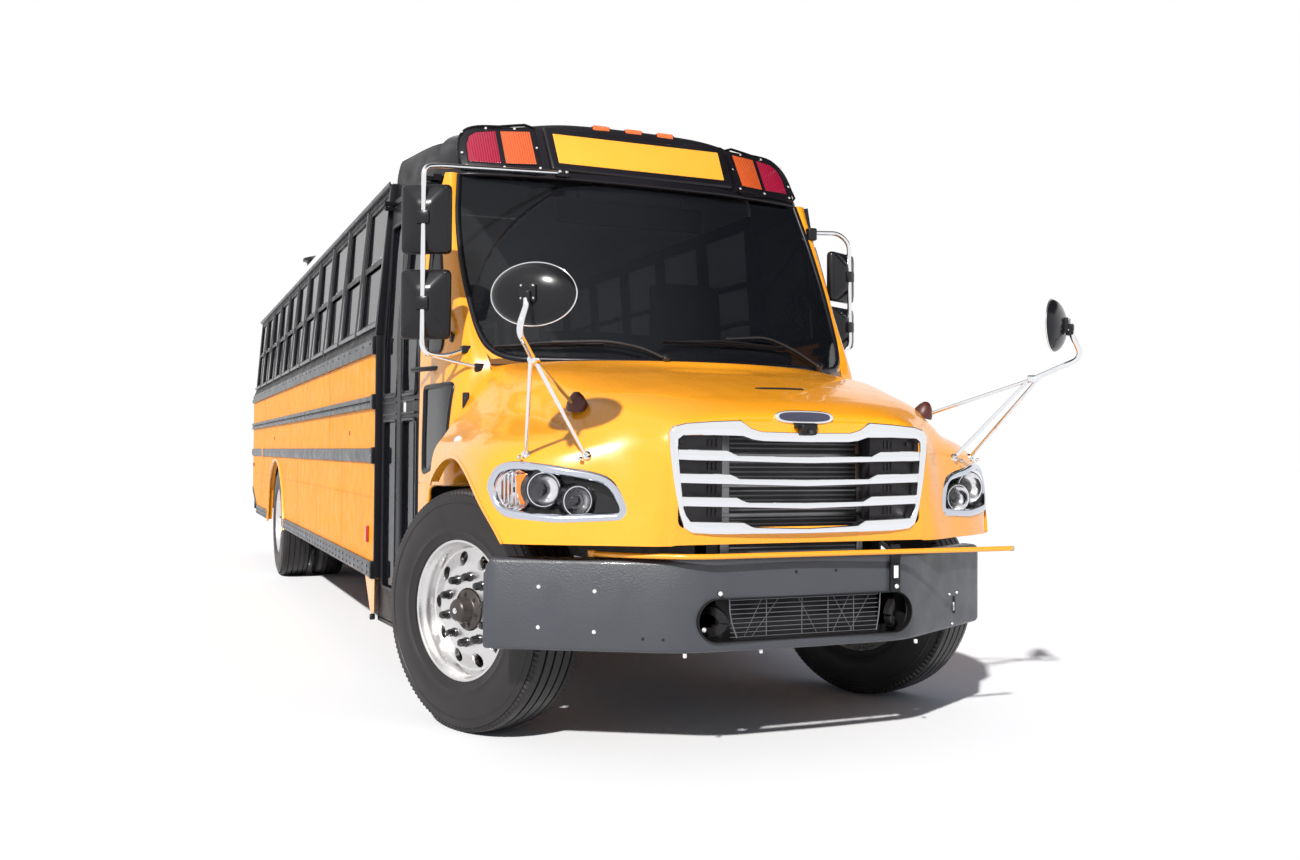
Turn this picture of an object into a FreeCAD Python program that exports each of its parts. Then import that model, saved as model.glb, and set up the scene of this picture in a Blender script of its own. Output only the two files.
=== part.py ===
"""School bus: a conventional bus with its hood ahead of the cabin, built as separate pieces.

Millimetres, +Z up, the front faces -Y and +X is the driver's (left) side. Every place along the bus is
measured from the middle of the front wheel arch; row_shift then puts the origin under the middle of the bus.
"""
import FreeCAD, Part, Sketcher
import math
import os
import re
from FreeCAD import Placement, Rotation, Vector

doc = FreeCAD.newDocument("school_bus")

# ---------------------------------------------------------------- driving sizes: alias, value or formula, meaning
SIZES = [
    ("body_half", 1219, "half the body's width over the side panels"),
    ("wall", 40, "thickness of the side, rear and roof walls"),
    ("belt_low", 1842, "top of the upright side panel"),
    ("belt_high", 1894, "window band, lower edge"),
    ("belt_inset", 22, "how far the window band's lower edge stands in"),
    ("eaves_high", 2707, "drip rail, where the roof starts"),
    ("eaves_inset", 84, "how far the drip rail stands in"),
    ("roof_high", 3040, "roof at its crown"),
    ("skirt_low", 500, "lower edge of the side panels"),
    ("tail_low", 735, "lower edge of the side panels at the rear end"),
    ("tail_start", 9110, "where the side panels' lower edge starts to rise towards the rear"),
    ("cabin_front", 1699, "front edge of the right side wall, behind the entrance door"),
    ("cabin_rear", 9776, "outer face of the rear wall"),
    ("window_pitch", 727, "from one side window to the next"),
    ("window_wide", 640, "opening of one side window"),
    ("window_low", 1930, "sill of the side windows"),
    ("window_top", 2660, "head of the side windows"),
    ("windows", 11, "side windows on each side, behind the door and the driver's window"),
    ("glass", 6, "thickness of a pane"),
    ("floor_over", 150, "cabin floor over the top of the frame rails"),
    ("floor_thick", 60, "thickness of the cabin floor"),
    ("floor_high", "=frame_high + floor_over", "top of the cabin floor"),
    ("rail_out", 18, "how far a rub rail stands out of the side panel"),
    ("post", 20, "wall between the rear wall and the last side window's bay"),
    ("frame_half", 432, "half the width over the frame rails"),
    ("frame_over", 175, "frame rails' underside over the wheels' middle"),
    ("frame_deep", 250, "depth of a frame rail"),
    ("frame_low", "=tyre_radius + frame_over", "underside of the frame rails"),
    ("frame_high", "=frame_low + frame_deep", "top of the frame rails"),
    ("frame_front", -800, "front end of the frame rails"),
    ("frame_flange", 75, "width of a frame rail's flange"),
    ("frame_web", 9, "thickness of a frame rail's web and flanges"),
    ("front_axle", 155, "front axle"),
    ("rear_axle", 7087, "rear axle"),
    ("tyre_radius", 525, "outer radius of a tyre"),
    ("tyre_wide", 279, "width of a tyre"),
    ("rim_radius", 290, "radius of the tyre's bead seat"),
    ("kingpin_x", 912, "kingpin, from the middle of the bus"),
    ("wheel_out", 130, "front wheel's middle, outward of its kingpin"),
    ("steer_rest", 24.3, "how far the front wheels are turned to the left as stored"),
    ("dual_out", 1065, "outer rear wheel's middle"),
    ("dual_in", 745, "inner rear wheel's middle"),
    ("arch_radius", "=tyre_radius + 107", "front wheel arch"),
    ("arch_high", "=tyre_radius + 25", "height of the front arch's centre"),
    ("rear_arch_half", 780, "half the rear arch's length at the skirt"),
    ("rear_arch_high", "=2 * tyre_radius + 70", "top of the rear arch"),
    ("bumper_low", 445, "front bumper, lower edge"),
    ("bumper_high", 800, "front bumper, upper edge"),
    ("bumper_front", -900, "front face of the front bumper"),
    ("bumper_out", 150, "how far the rear bumper's face stands behind the rear wall"),
    ("hood_pivot_y", -915, "hood hinge"),
    ("hood_pivot_z", 845, "hood hinge"),
    ("door_front", 900, "front edge of the entrance"),
    ("door_rear", 1660, "rear edge of the entrance"),
    ("door_low", 300, "lower edge of the entrance doors"),
    ("door_high", 2560, "upper edge of the entrance doors"),
    ("door_face", 1195, "outer face of the entrance doors at their rear edge"),
    ("door_taper", 3.9, "how far the body's front part turns in towards the front"),
    ("door_bend", 1800, "height above which the doors lean in"),
    ("door_lean", 52, "how far the doors' top stands in"),
    ("door_thick", 40, "thickness of the entrance doors"),
    ("door_gap", 9, "clearance round a door"),
    ("door_part", 24, "clearance between the two entrance door leaves"),
    ("door_pin", 22, "a leaf's hinge pin, in from the side of the doorway"),
    ("door_pin_depth", 10, "a leaf's hinge pin, behind the leaf's outer face"),
    ("rear_door_half", 430, "half the rear doorway's width"),
    ("rear_door_high", 2545, "head of the rear doorway"),
    ("arm_x", -800, "crossing arm's hinge"),
    ("arm_y", -668, "crossing arm's hinge, over the bumper's top"),
    ("arm_z", 818, "height of the crossing arm"),
    ("mirror_y", -1014, "middle of a crossview mirror's head"),
    ("mirror_x", 1150, "middle of a crossview mirror's head"),
    ("mirror_z", 1763, "middle of a crossview mirror's head"),
    ("cap_low", 2604, "lower edge of the front cap"),
    ("hatch_half", 335, "half the side of a roof hatch's lid"),
    ("sash", 24, "width of a side window's frame"),
    ("seat_pitch", 727, "from one passenger bench to the next"),
    ("seat_rows", 11, "rows of passenger benches"),
    ("seat_wide", 960, "width of a passenger bench"),
    ("seat_high", 430, "height of a bench's cushion over the floor"),
    ("back_high", 980, "height of a bench's back over the floor"),
    ("aisle_half", 165, "half the aisle's width"),
]
sheet = doc.addObject("Spreadsheet::Sheet", "Sizes")
row_of = {alias: (value, meaning) for alias, value, meaning in SIZES}
MIRROR_REACH = 105  # how far a crossview mirror's head reaches forward of its middle
middle = (row_of["cabin_rear"][0] + row_of["bumper_out"][0] + row_of["mirror_y"][0] - MIRROR_REACH) / 2
SIZES.append(("row_shift", -middle, "moves the front arch's middle to its place ahead of the origin"))
for row, (alias, value, meaning) in enumerate(SIZES, 1):
    sheet.set("A%d" % row, meaning)
    sheet.set("B%d" % row, str(value))
    sheet.setAlias("B%d" % row, alias)
doc.recompute()
NAMES = [alias for alias, _, _ in SIZES]


class Read:
    """The sheet's numbers, read by alias for the shapes that are computed."""


size = Read()
for alias in NAMES:
    setattr(size, alias, float(sheet.get(alias)))

nodes = {}


# ---------------------------------------------------------------- bound primitives and booleans
def formula(text):
    """The words of a formula that name a size are read from the sheet."""
    return re.sub(r"[a-z_]+", lambda word: "Sizes." + word.group() if word.group() in NAMES else word.group(),
                  str(text))


def primitive(kind, name, sizes, place, turn=None):
    """A Part primitive whose sizes and place (x, y from the front arch, z) are formulas over the sheet."""
    piece = doc.addObject(kind, name)
    if turn:
        piece.Placement = Placement(Vector(), Rotation(*turn))
    for prop, text in sizes.items():
        piece.setExpression(prop, formula(text))
    for axis, text in zip("xyz", place):
        shift = " + row_shift" if axis == "y" else ""
        piece.setExpression("Placement.Base." + axis, formula("(%s)%s" % (text, shift)))
    return piece


def block(name, low, high):
    """A box between two corners, each given as three formulas."""
    sizes = {prop: "(%s) - (%s)" % (high[i], low[i]) for i, prop in enumerate(("Length", "Width", "Height"))}
    return primitive("Part::Box", name, sizes, low)


def across(name, radius, start, length):
    """A cylinder along X from a start corner of formulas."""
    return primitive("Part::Cylinder", name, {"Radius": radius, "Height": length}, start, (Vector(0, 1, 0), 90))


def along(name, radius, start, length):
    """A cylinder along +Y."""
    return primitive("Part::Cylinder", name, {"Radius": radius, "Height": length}, start, (Vector(1, 0, 0), -90))


def upright(name, radius, start, length):
    """A cylinder along +Z."""
    return primitive("Part::Cylinder", name, {"Radius": radius, "Height": length}, start)


def sketched(body, name, role, corners):
    """A closed outline on one of a body's own planes. Each corner is held by two formulas, so the sketch
    follows the sheet; the starting polygon only gives the solver its corners in order."""
    sketch = body.newObject("Sketcher::SketchObject", name)
    plane = next(item for item in body.Origin.OriginFeatures if item.Role == role)
    sketch.AttachmentSupport = (plane, [""])
    sketch.MapMode = "FlatFace"
    count = len(corners)
    start = [Vector(1000 * math.cos(2 * math.pi * i / count), 1000 * math.sin(2 * math.pi * i / count), 0)
             for i in range(count)]
    for i in range(count):
        sketch.addGeometry(Part.LineSegment(start[i], start[(i + 1) % count]), False)
    for i in range(count):
        sketch.addConstraint(Sketcher.Constraint("Coincident", i, 2, (i + 1) % count, 1))
    for i, corner in enumerate(corners):
        for kind, text, guess in zip(("DistanceX", "DistanceY"), corner, (start[i].x, start[i].y)):
            held = sketch.addConstraint(Sketcher.Constraint(kind, -1, 1, i, 1, guess))
            sketch.setExpression("Constraints[%d]" % held, formula(text))
    return sketch


def body_at(name, place, turn="0"):
    """A PartDesign body whose origin (x, y from the front arch, z) and turn about Z are formulas."""
    body = doc.addObject("PartDesign::Body", name)
    for axis, text in zip("xyz", place):
        shift = " + row_shift" if axis == "y" else ""
        body.setExpression("Placement.Base." + axis, formula("(%s)%s" % (text, shift)))
    body.setExpression("Placement.Rotation.Angle", formula(turn))
    return body


def turned(name, profile, place, turn="0"):
    """A body of revolution: (distance along its X axis, radius) corners spun about that axis."""
    body = body_at(name, place, turn)
    spin = body.newObject("PartDesign::Revolution", name + "_spin")
    spin.Profile = sketched(body, name + "_profile", "XY_Plane", profile)
    spin.ReferenceAxis = (spin.Profile[0], ["H_Axis"])
    spin.Angle = 360
    return body


def padded(name, section, place, length):
    """A body pushed along +Y from a section in (x, z)."""
    body = body_at(name, place)
    pad = body.newObject("PartDesign::Pad", name + "_pad")
    pad.Profile = sketched(body, name + "_section", "XZ_Plane", section)
    pad.Reversed = True
    pad.setExpression("Length", formula(length))
    return body


def pocketed(body, name, corners, toward=True):
    """A hole right through a body along X, from its outline in (y, z); toward is the side it is cut to."""
    pocket = body.newObject("PartDesign::Pocket", name)
    pocket.Profile = sketched(body, name + "_outline", "YZ_Plane", corners)
    pocket.Type = "ThroughAll"
    pocket.Reversed = toward
    return pocket


def repeated(body, feature, pitch, count):
    """A feature repeated along Y, count times a pitch apart."""
    row = body.newObject("PartDesign::LinearPattern", feature.Name + "_row")
    row.Originals = [feature]
    row.Direction = (next(item for item in body.Origin.OriginFeatures if item.Role == "Y_Axis"), [""])
    row.setExpression("Occurrences", formula(count))
    row.setExpression("Length", formula("(%s) * ((%s) - 1)" % (pitch, count)))
    body.Tip = row
    return row


def grouped(name, pieces):
    """Several solids that don't touch as one object."""
    group = doc.addObject("Part::Compound", name)
    group.Links = pieces
    return group


def joined(name, pieces):
    """Several solids as one object."""
    whole = doc.addObject("Part::MultiFuse", name)
    whole.Shapes = pieces
    return whole


def less(name, base, tool):
    """A solid with another cut out of it."""
    rest = doc.addObject("Part::Cut", name)
    rest.Base = base
    rest.Tool = tool
    return rest


def keep(node, piece):
    """Marks an object as one sub-part of the bus."""
    piece.Label = node
    nodes[node] = piece
    return piece


# ---------------------------------------------------------------- computed shapes
def cuboid(x, y, z):
    """A box from three (low, high) pairs."""
    return Part.makeBox(x[1] - x[0], y[1] - y[0], z[1] - z[0], Vector(x[0], y[0], z[0]))


def rod(start, end, radius):
    """A round bar between two points."""
    start, end = Vector(*start), Vector(*end)
    return Part.makeCylinder(radius, (end - start).Length, start, end - start)


def tube(path, radius):
    """A bent tube: straight runs with a ball at each bend."""
    pieces = [rod(a, b, radius) for a, b in zip(path, path[1:])]
    pieces += [Part.makeSphere(radius, Vector(*point)) for point in path[1:-1]]
    return pieces[0].multiFuse(pieces[1:]).removeSplitter()


def outline(points):
    """A closed flat wire through points."""
    return Part.makePolygon([Vector(*point) for point in points] + [Vector(*points[0])])


def prism(points, travel):
    """A flat outline pushed along a vector."""
    return Part.Face(outline(points)).extrude(Vector(*travel))


def loft(sections):
    """A solid with straight sides between closed outlines."""
    return Part.makeLoft([outline(section) for section in sections], True, True)


def flipped(shape):
    """The same piece on the other side of the bus."""
    return shape.mirror(Vector(), Vector(1, 0, 0))


def both(shape):
    """A piece and its mirror image, which don't touch."""
    return Part.makeCompound([shape, flipped(shape)])


def part(node, shape):
    """A sub-part whose shape is computed from the sheet's numbers."""
    piece = doc.addObject("Part::Feature", node)
    piece.Shape = shape
    piece.Placement = Placement(Vector(0, size.row_shift, 0), Rotation()) * shape.Placement
    return keep(node, piece)


# ---------------------------------------------------------------- chassis
rails = []
for word, near, far in (("left", "frame_half - frame_flange", "frame_half"),
                        ("right", "-frame_half", "frame_flange - frame_half")):
    open_near, open_far = ((near, "frame_half - frame_web") if word == "left" else ("frame_web - frame_half", far))
    bar = block("rail_bar_" + word, (near, "frame_front", "frame_low"), (far, "cabin_rear - 60", "frame_high"))
    hollow = block("rail_hollow_" + word, (open_near, "frame_front", "frame_low + frame_web"),
                   (open_far, "cabin_rear - 60", "frame_high - frame_web"))
    rails.append(less("rail_" + word, bar, hollow))
keep("frame_rails", grouped("rails", rails))

# y of each front edge
CROSSMEMBERS = ("1560", "2900", "4200", "5500", "6250", "7900", "8800", "cabin_rear - 140")
OUTRIGGERS = ("1000", "2300", "3600", "4900", "6200", "7900", "9200")
members = []
for number, place in enumerate(CROSSMEMBERS):
    members.append(block("crossmember_%d" % number,
                         ("frame_web - frame_half", place, "frame_high - frame_web - 70"),
                         ("frame_half - frame_web", "(%s) + 70" % place, "frame_high - frame_web")))
for number, place in enumerate(OUTRIGGERS):
    for word, near, far in (("left", "frame_half", "1050"), ("right", "-1050", "-frame_half")):
        if word == "left" or number:
            members.append(block("outrigger_%s_%d" % (word, number), (near, place, "frame_high - 40"),
                                 (far, "(%s) + 60" % place, "floor_high - floor_thick")))
keep("crossmembers", grouped("members", members))

keep("engine_block", block("engine", ("-290", "-560", "620"), ("290", "560", "1390")))
keep("transmission", joined("gearbox", [
    along("gearbox_case", "170", ("0", "560", "770"), "800"),
    along("gearbox_tail", "90", ("0", "1360", "770"), "160")]))
keep("radiator", block("radiator_core", ("-345", "-740", "640"), ("345", "-660", "1340")))

part("driveshaft", rod((0, 1528, 770), (0, size.rear_axle - 240, size.tyre_radius), 48))

keep("front_axle", joined("front_axle_beam", [
    block("beam", ("-790", "front_axle - 50", "tyre_radius - 130"),
          ("790", "front_axle + 50", "tyre_radius - 25"))] + [
    block("beam_end_" + word, (low, "front_axle - 42", "tyre_radius - 72"),
          (high, "front_axle + 42", "tyre_radius + 50"))
    for word, low, high in (("left", "780", "kingpin_x"), ("right", "-kingpin_x", "-780"))] + [
    upright("kingpin_boss_" + word, "42", (x, "front_axle", "tyre_radius - 72"), "122")
    for word, x in (("left", "kingpin_x"), ("right", "-kingpin_x"))]))


def leaf_spring(x, axle, half, seat):
    """A stack of three leaves under a frame rail, with a hanger at each end."""
    pieces = []
    for share, low in ((1.0, 34), (0.75, 17), (0.5, 0)):
        pieces.append(cuboid((x - 40, x + 40), (axle - half * share, axle + half * share),
                             (seat + low, seat + low + 17)))
    for y in (axle - half + 40, axle + half - 40):
        pieces.append(cuboid((x - 34, x + 34), (y - 30, y + 30), (seat + 51, size.frame_low)))
    return pieces[0].multiFuse(pieces[1:])


part("leaf_springs", Part.makeCompound([both(leaf_spring(435, size.front_axle, 600, size.tyre_radius - 25)),
                                        both(leaf_spring(435, size.rear_axle, 660, size.tyre_radius + 62))]))

keep("rear_axle", joined("rear_axle_housing", [
    across("axle_tube", "62", ("-1046", "rear_axle", "tyre_radius"), "2092"),
    along("axle_bowl", "190", ("0", "rear_axle - 110", "tyre_radius"), "220"),
    along("pinion_nose", "90", ("0", "rear_axle - 230", "tyre_radius"), "120")]))

keep("fuel_tank", joined("tank", [
    block("tank_shell", ("500", "3900", "560"), ("1130", "5300", "900"))] + [
    block("tank_strap_%d" % number, ("frame_half", place, "860"),
          ("1000", "(%s) + 60" % place, "frame_high - 45"))
    for number, place in enumerate(("4150", "4990"))]))
muffler = rod((-650, 3300, 780), (-650, 4500, 780), 130)
pipe = tube([(-300, 700, 610), (-300, 900, 590), (-560, 1800, 640), (-650, 2500, 760), (-650, 3350, 780)], 50)
tail = tube([(-650, 4450, 780), (-620, 5500, 780), (-540, 6100, 780), (-540, 7000, 880), (-540, 7700, 860),
             (-620, 8300, 700), (-620, 9850, 640)], 50)
part("exhaust", muffler.multiFuse([pipe, tail]))

# ---------------------------------------------------------------- wheels
TYRE = [  # share of the width, radius
    ("-0.37", "rim_radius"), ("-0.38", "rim_radius + 18"), ("-0.5", "rim_radius + 95"),
    ("-0.485", "tyre_radius - 60"), ("-0.43", "tyre_radius - 14"), ("-0.35", "tyre_radius - 2"), ("0", "tyre_radius")]
TYRE += [(share[1:], radius) for share, radius in TYRE[-2::-1]]
EDGE = "(tyre_wide / 2 - 16)"
BARREL = [  # side of the wheel, in from the bead's edge, out from the bead seat
    ("-", "0", "-8"), ("-", "0", "12"), ("-", "14", "12"), ("-", "14", "-1"), ("", "14", "-1"),
    ("", "14", "12"), ("", "0", "12"), ("", "0", "-8"), ("", "30", "-26"), ("-", "30", "-26")]
HUB = [  # along the axle, radius
    (-40, 44), (120, 44), (120, 0), (150, 0), (150, 48), (135, 62), (84, 66), (84, 84), (50, 84), (50, 150),
    (36, 150), (36, 90), (-30, 90), (-30, 205), (-100, 205), (-100, 190), (-46, 190), (-46, 44)]
REAR_HUB = [(-200, 68), (150, 68), (150, 0), (175, 0), (175, 84), (45, 92), (45, 84), (-45, 84), (-45, 150),
            (-60, 150), (-60, 205), (-200, 205), (-200, 190), (-75, 190), (-75, 84), (-200, 84)]


def numbers(profile):
    """A profile's plain numbers as formulas."""
    return [(str(u), str(r)) for u, r in profile]


def tyre(name, place, turn):
    """A road tyre with a flat tread and rounded shoulders."""
    return turned(name, [("(%s) * tyre_wide" % share, radius) for share, radius in TYRE], place, turn)


def rim(name, place, turn, dish):
    """A disc wheel: the barrel with its bead seats, and the dished disc with its ten hand holes."""
    barrel = turned(name + "_barrel", [("%s(%s - %s)" % (sign, EDGE, back), "rim_radius + (%s)" % out)
                                       for sign, back, out in BARREL], place, turn)
    disc = turned(name + "_disc", [
        ("%d - 11" % dish, "85"), ("%d + 11" % dish, "85"), ("%d + 11" % dish, "190"),
        ("%d * 0.72 + 11" % dish, "rim_radius - 20"), ("%d * 0.72 - 11" % dish, "rim_radius - 20"),
        ("%d - 11" % dish, "190")], place, turn)
    circle = disc.newObject("Sketcher::SketchObject", name + "_hole_outline")
    plane = next(item for item in disc.Origin.OriginFeatures if item.Role == "YZ_Plane")
    circle.AttachmentSupport = (plane, [""])
    circle.MapMode = "FlatFace"
    circle.addGeometry(Part.Circle(Vector(226, 0, 0), Vector(0, 0, 1), 30), False)
    circle.addConstraint(Sketcher.Constraint("PointOnObject", 0, 3, -1))
    held = circle.addConstraint(Sketcher.Constraint("DistanceX", -1, 1, 0, 3, 226))
    circle.setExpression("Constraints[%d]" % held, formula("rim_radius - 64"))
    circle.addConstraint(Sketcher.Constraint("Radius", 0, 30))
    hole = disc.newObject("PartDesign::Pocket", name + "_hole")
    hole.Profile = circle
    hole.Type = "ThroughAll"
    hole.Reversed = dish > 0
    holes = disc.newObject("PartDesign::PolarPattern", name + "_holes")
    holes.Originals = [hole]
    holes.Axis = (next(item for item in disc.Origin.OriginFeatures if item.Role == "X_Axis"), [""])
    holes.Angle = 360
    holes.Occurrences = 10
    disc.Tip = holes
    return joined(name, [barrel, disc])


def steered(shape, side):
    """Turns a front wheel piece about its kingpin to where it stands as stored."""
    turned_shape = shape.copy()
    turned_shape.rotate(Vector(side * size.kingpin_x, size.front_axle, 0), Vector(0, 0, 1), size.steer_rest)
    return turned_shape


hub_z = size.tyre_radius
axle_y = size.front_axle
for side, word, sign, facing in ((-1, "right", "-", "180"), (1, "left", "", "0")):
    pin = side * size.kingpin_x

    def out(near, far):
        """Two distances outward of the kingpin as a low and high x."""
        return tuple(sorted((pin + side * near, pin + side * far)))

    lugs = [Part.makeCylinder(44, 34, Vector(pin, axle_y, hub_z + 56)),
            Part.makeCylinder(44, 34, Vector(pin, axle_y, hub_z - 112)),
            cuboid(out(0, 76), (axle_y - 40, axle_y + 40), (hub_z + 56, hub_z + 90)),
            cuboid(out(0, 76), (axle_y - 40, axle_y + 40), (hub_z - 112, hub_z - 78)),
            cuboid(out(47, 76), (axle_y - 56, axle_y + 56), (hub_z - 112, hub_z + 90)),
            rod((pin + side * 76, axle_y, hub_z), (pin + side * 200, axle_y, hub_z), 38)]
    part("front_knuckle_" + word, steered(lugs[0].multiFuse(lugs[1:]), side))

    turn = facing + " + steer_rest"
    middle = (sign + "(kingpin_x + wheel_out * cos(steer_rest))",
              "front_axle + %s(wheel_out * sin(steer_rest))" % sign, "tyre_radius")
    keep("front_tyre_" + word, tyre("front_tyre_body_" + word, middle, turn))
    keep("front_wheel_" + word, grouped("front_wheel_set_" + word, [
        rim("front_rim_" + word, middle, turn, 62), turned("front_hub_" + word, numbers(HUB), middle, turn)]))

    outer = (sign + "dual_out", "rear_axle", "tyre_radius")
    inner = (sign + "dual_in", "rear_axle", "tyre_radius")
    between = (sign + "(dual_out + dual_in) / 2", "rear_axle", "tyre_radius")
    keep("rear_tyres_" + word, grouped("rear_tyre_pair_" + word, [
        tyre("outer_tyre_" + word, outer, facing), tyre("inner_tyre_" + word, inner, facing)]))
    keep("rear_wheels_" + word, grouped("rear_wheel_set_" + word, [
        rim("outer_rim_" + word, outer, facing, -100), rim("inner_rim_" + word, inner, facing, 100),
        turned("rear_hub_" + word, numbers(REAR_HUB), between, facing)]))

# ---------------------------------------------------------------- body shell
def wall_line(depth):
    """The side wall's line at a depth behind its outer face: skirt, belt, eaves as (x, z)."""
    return [(size.body_half - depth, size.skirt_low), (size.body_half - depth, size.belt_low),
            (size.body_half - size.belt_inset - depth, size.belt_high),
            (size.body_half - size.eaves_inset - depth, size.eaves_high)]


def roof_line(depth):
    """The roof's line from the left eaves over the crown to the right eaves as (x, z)."""
    eaves = size.body_half - size.eaves_inset
    rise = size.roof_high - size.eaves_high
    left = [(eaves, 0.0), (eaves - 30, 0.36 * rise), (eaves - 130, 0.64 * rise), (eaves - 330, 0.83 * rise),
            (eaves - 640, 0.95 * rise), (0.0, rise)]
    half = [(x * (1 - depth / eaves), size.eaves_high + z * (1 - depth / rise)) for x, z in left]
    return half + [(-x, z) for x, z in half[-2::-1]]


def band(outer, inner, y):
    """A wall's section between its outer and inner line, pushed along Y."""
    points = [(x, y[0], z) for x, z in outer] + [(x, y[0], z) for x, z in reversed(inner)]
    return prism(points, (0, y[1] - y[0], 0))


def rear_arch(x):
    """The rear wheel opening: two leaning legs and a flat arc over them, pushed 250 along X."""
    foot, knee = size.rear_arch_half, size.rear_arch_half - 140
    spring, top = size.rear_arch_high - 290, size.rear_arch_high
    y = size.rear_axle
    arc = Part.Arc(Vector(x, y - knee, spring), Vector(x, y, top), Vector(x, y + knee, spring)).toShape()
    foot_z, below = size.skirt_low - 20, size.skirt_low - 200
    legs = Part.makePolygon([Vector(x, y + knee, spring), Vector(x, y + foot, foot_z), Vector(x, y + foot, below),
                             Vector(x, y - foot, below), Vector(x, y - foot, foot_z), Vector(x, y - knee, spring)])
    return Part.Face(Part.Wire(arc.Edges + legs.Edges)).extrude(Vector(250, 0, 0))


def window_starts():
    """The front edge of each side window, from the rear wall forward."""
    gap = (size.window_pitch - size.window_wide) / 2
    rear = size.cabin_rear - size.wall - size.post
    return [rear - size.window_pitch * (number + 1) + gap for number in range(int(size.windows))]


WALL_LINE = [("body_half", "skirt_low"), ("body_half", "belt_low"), ("body_half - belt_inset", "belt_high"),
             ("body_half - eaves_inset", "eaves_high")]
FIRST_WINDOW = "cabin_rear - wall - post - window_pitch * windows + (window_pitch - window_wide) / 2 - cabin_front"
front = size.cabin_front
for side, word, sign in ((-1, "right", "-"), (1, "left", "")):
    outer = [(sign + "(%s)" % x, z) for x, z in WALL_LINE]
    inner = [(sign + "(%s - wall)" % x, z) for x, z in WALL_LINE]
    body = padded("side_panel_" + word, outer + inner[::-1], ("0", "cabin_front", "0"), "cabin_rear - cabin_front")
    pocketed(body, "tail_rise_" + word, [
        ("tail_start - cabin_front", "300"), ("tail_start - cabin_front", "skirt_low + 50"),
        ("cabin_rear + 50 - cabin_front", "tail_low"), ("cabin_rear + 50 - cabin_front", "300")], side > 0)
    first, last = FIRST_WINDOW, FIRST_WINDOW + " + window_wide"
    window = pocketed(body, "window_" + word, [
        (first, "window_low"), (last, "window_low"), (last, "window_top"), (first, "window_top")], side > 0)
    repeated(body, window, "window_pitch", "windows")
    arch = doc.addObject("Part::Feature", "rear_arch_" + word)
    arch.Shape = rear_arch(size.body_half - 200 if side > 0 else -size.body_half - 50)
    arch.Placement = Placement(Vector(0, size.row_shift, 0), Rotation())
    keep("side_wall_" + word, less("side_wall_cut_" + word, body, arch))

glass_panes, sashes = [], []
reach = (size.body_half - 200, size.body_half + 50)
pane = band(wall_line(14)[2:], wall_line(14 + size.glass)[2:], (front, size.cabin_rear))
sash = band(wall_line(4)[2:], wall_line(30)[2:], (front, size.cabin_rear))
bar = (size.window_low + size.window_top) / 2
for y in window_starts():
    whole = cuboid(reach, (y, y + size.window_wide), (size.window_low, size.window_top))
    light_y = (y + size.sash, y + size.window_wide - size.sash)
    lights = Part.makeCompound([cuboid(reach, light_y, z) for z in (
        (size.window_low + size.sash, bar - 16), (bar + 16, size.window_top - size.sash))])
    glass_panes += both(pane.common(lights)).Solids
    sashes += both(sash.common(whole).cut(lights)).Solids
part("window_frames", Part.makeCompound(sashes))

HATCHES = [3900, 7500]  # y of the roof hatches' middles
HATCH_EARS = [-200, 200]  # x of the middle of each hinge ear on a lid
roof = band(roof_line(0), roof_line(size.wall), (size.cabin_front, size.cabin_rear))
curb_half = size.hatch_half - 15  # from a hatch's middle to the face of its curb
hinge_z = size.roof_high + 40
for y in HATCHES:
    opening = cuboid((35 - curb_half, curb_half - 35), (y + 35 - curb_half, y + curb_half - 35),
                     (size.roof_high - 100, size.roof_high + 60))
    curb = cuboid((-curb_half, curb_half), (y - curb_half, y + curb_half),
                  (size.roof_high - 38, size.roof_high + 22))
    roof = roof.fuse(curb).cut(opening)
    hinge_y = y - size.hatch_half - 16
    for ear in HATCH_EARS:
        lugs = [cuboid((ear + low, ear + low + 12), (hinge_y - 12, hinge_y + 12),
                       (size.roof_high - 20, hinge_z + 10)) for low in (-38, 26)]
        roof = roof.multiFuse(lugs + [rod((ear - 30, hinge_y, hinge_z), (ear + 30, hinge_y, hinge_z), 5)])
part("roof", roof)

RUB_RAILS = [  # name, low z, high z
    ("belt", "belt_low - 90", "belt_low - 10"), ("seat", "1446", "1519"), ("floor", "1142", "1223")]
ARCH_ENDS = ("rear_axle - rear_arch_half - 10", "rear_axle + rear_arch_half + 10")
rails = []
for word, near, far, drip_near, drip_far in (
        ("left", "body_half", "body_half + rail_out",
         "body_half - eaves_inset + 2", "body_half - eaves_inset + 24"),
        ("right", "-body_half - rail_out", "-body_half",
         "eaves_inset - body_half - 24", "eaves_inset - body_half - 2")):
    for name, low, high in RUB_RAILS:
        rails.append(block("rail_%s_%s" % (name, word), (near, "cabin_front", low), (far, "cabin_rear", high)))
    for end, start, stop in (("front", "cabin_front", ARCH_ENDS[0]), ("rear", ARCH_ENDS[1], "tail_start - 10")):
        rails.append(block("rail_skirt_%s_%s" % (end, word), (near, start, "skirt_low + 5"),
                           (far, stop, "skirt_low + 91")))
    rails.append(block("drip_rail_" + word, (drip_near, "cabin_front", "eaves_high - 16"),
                       (drip_far, "cabin_rear", "eaves_high + 10")))
keep("rub_rails", grouped("rails_and_drip", rails))

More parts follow.
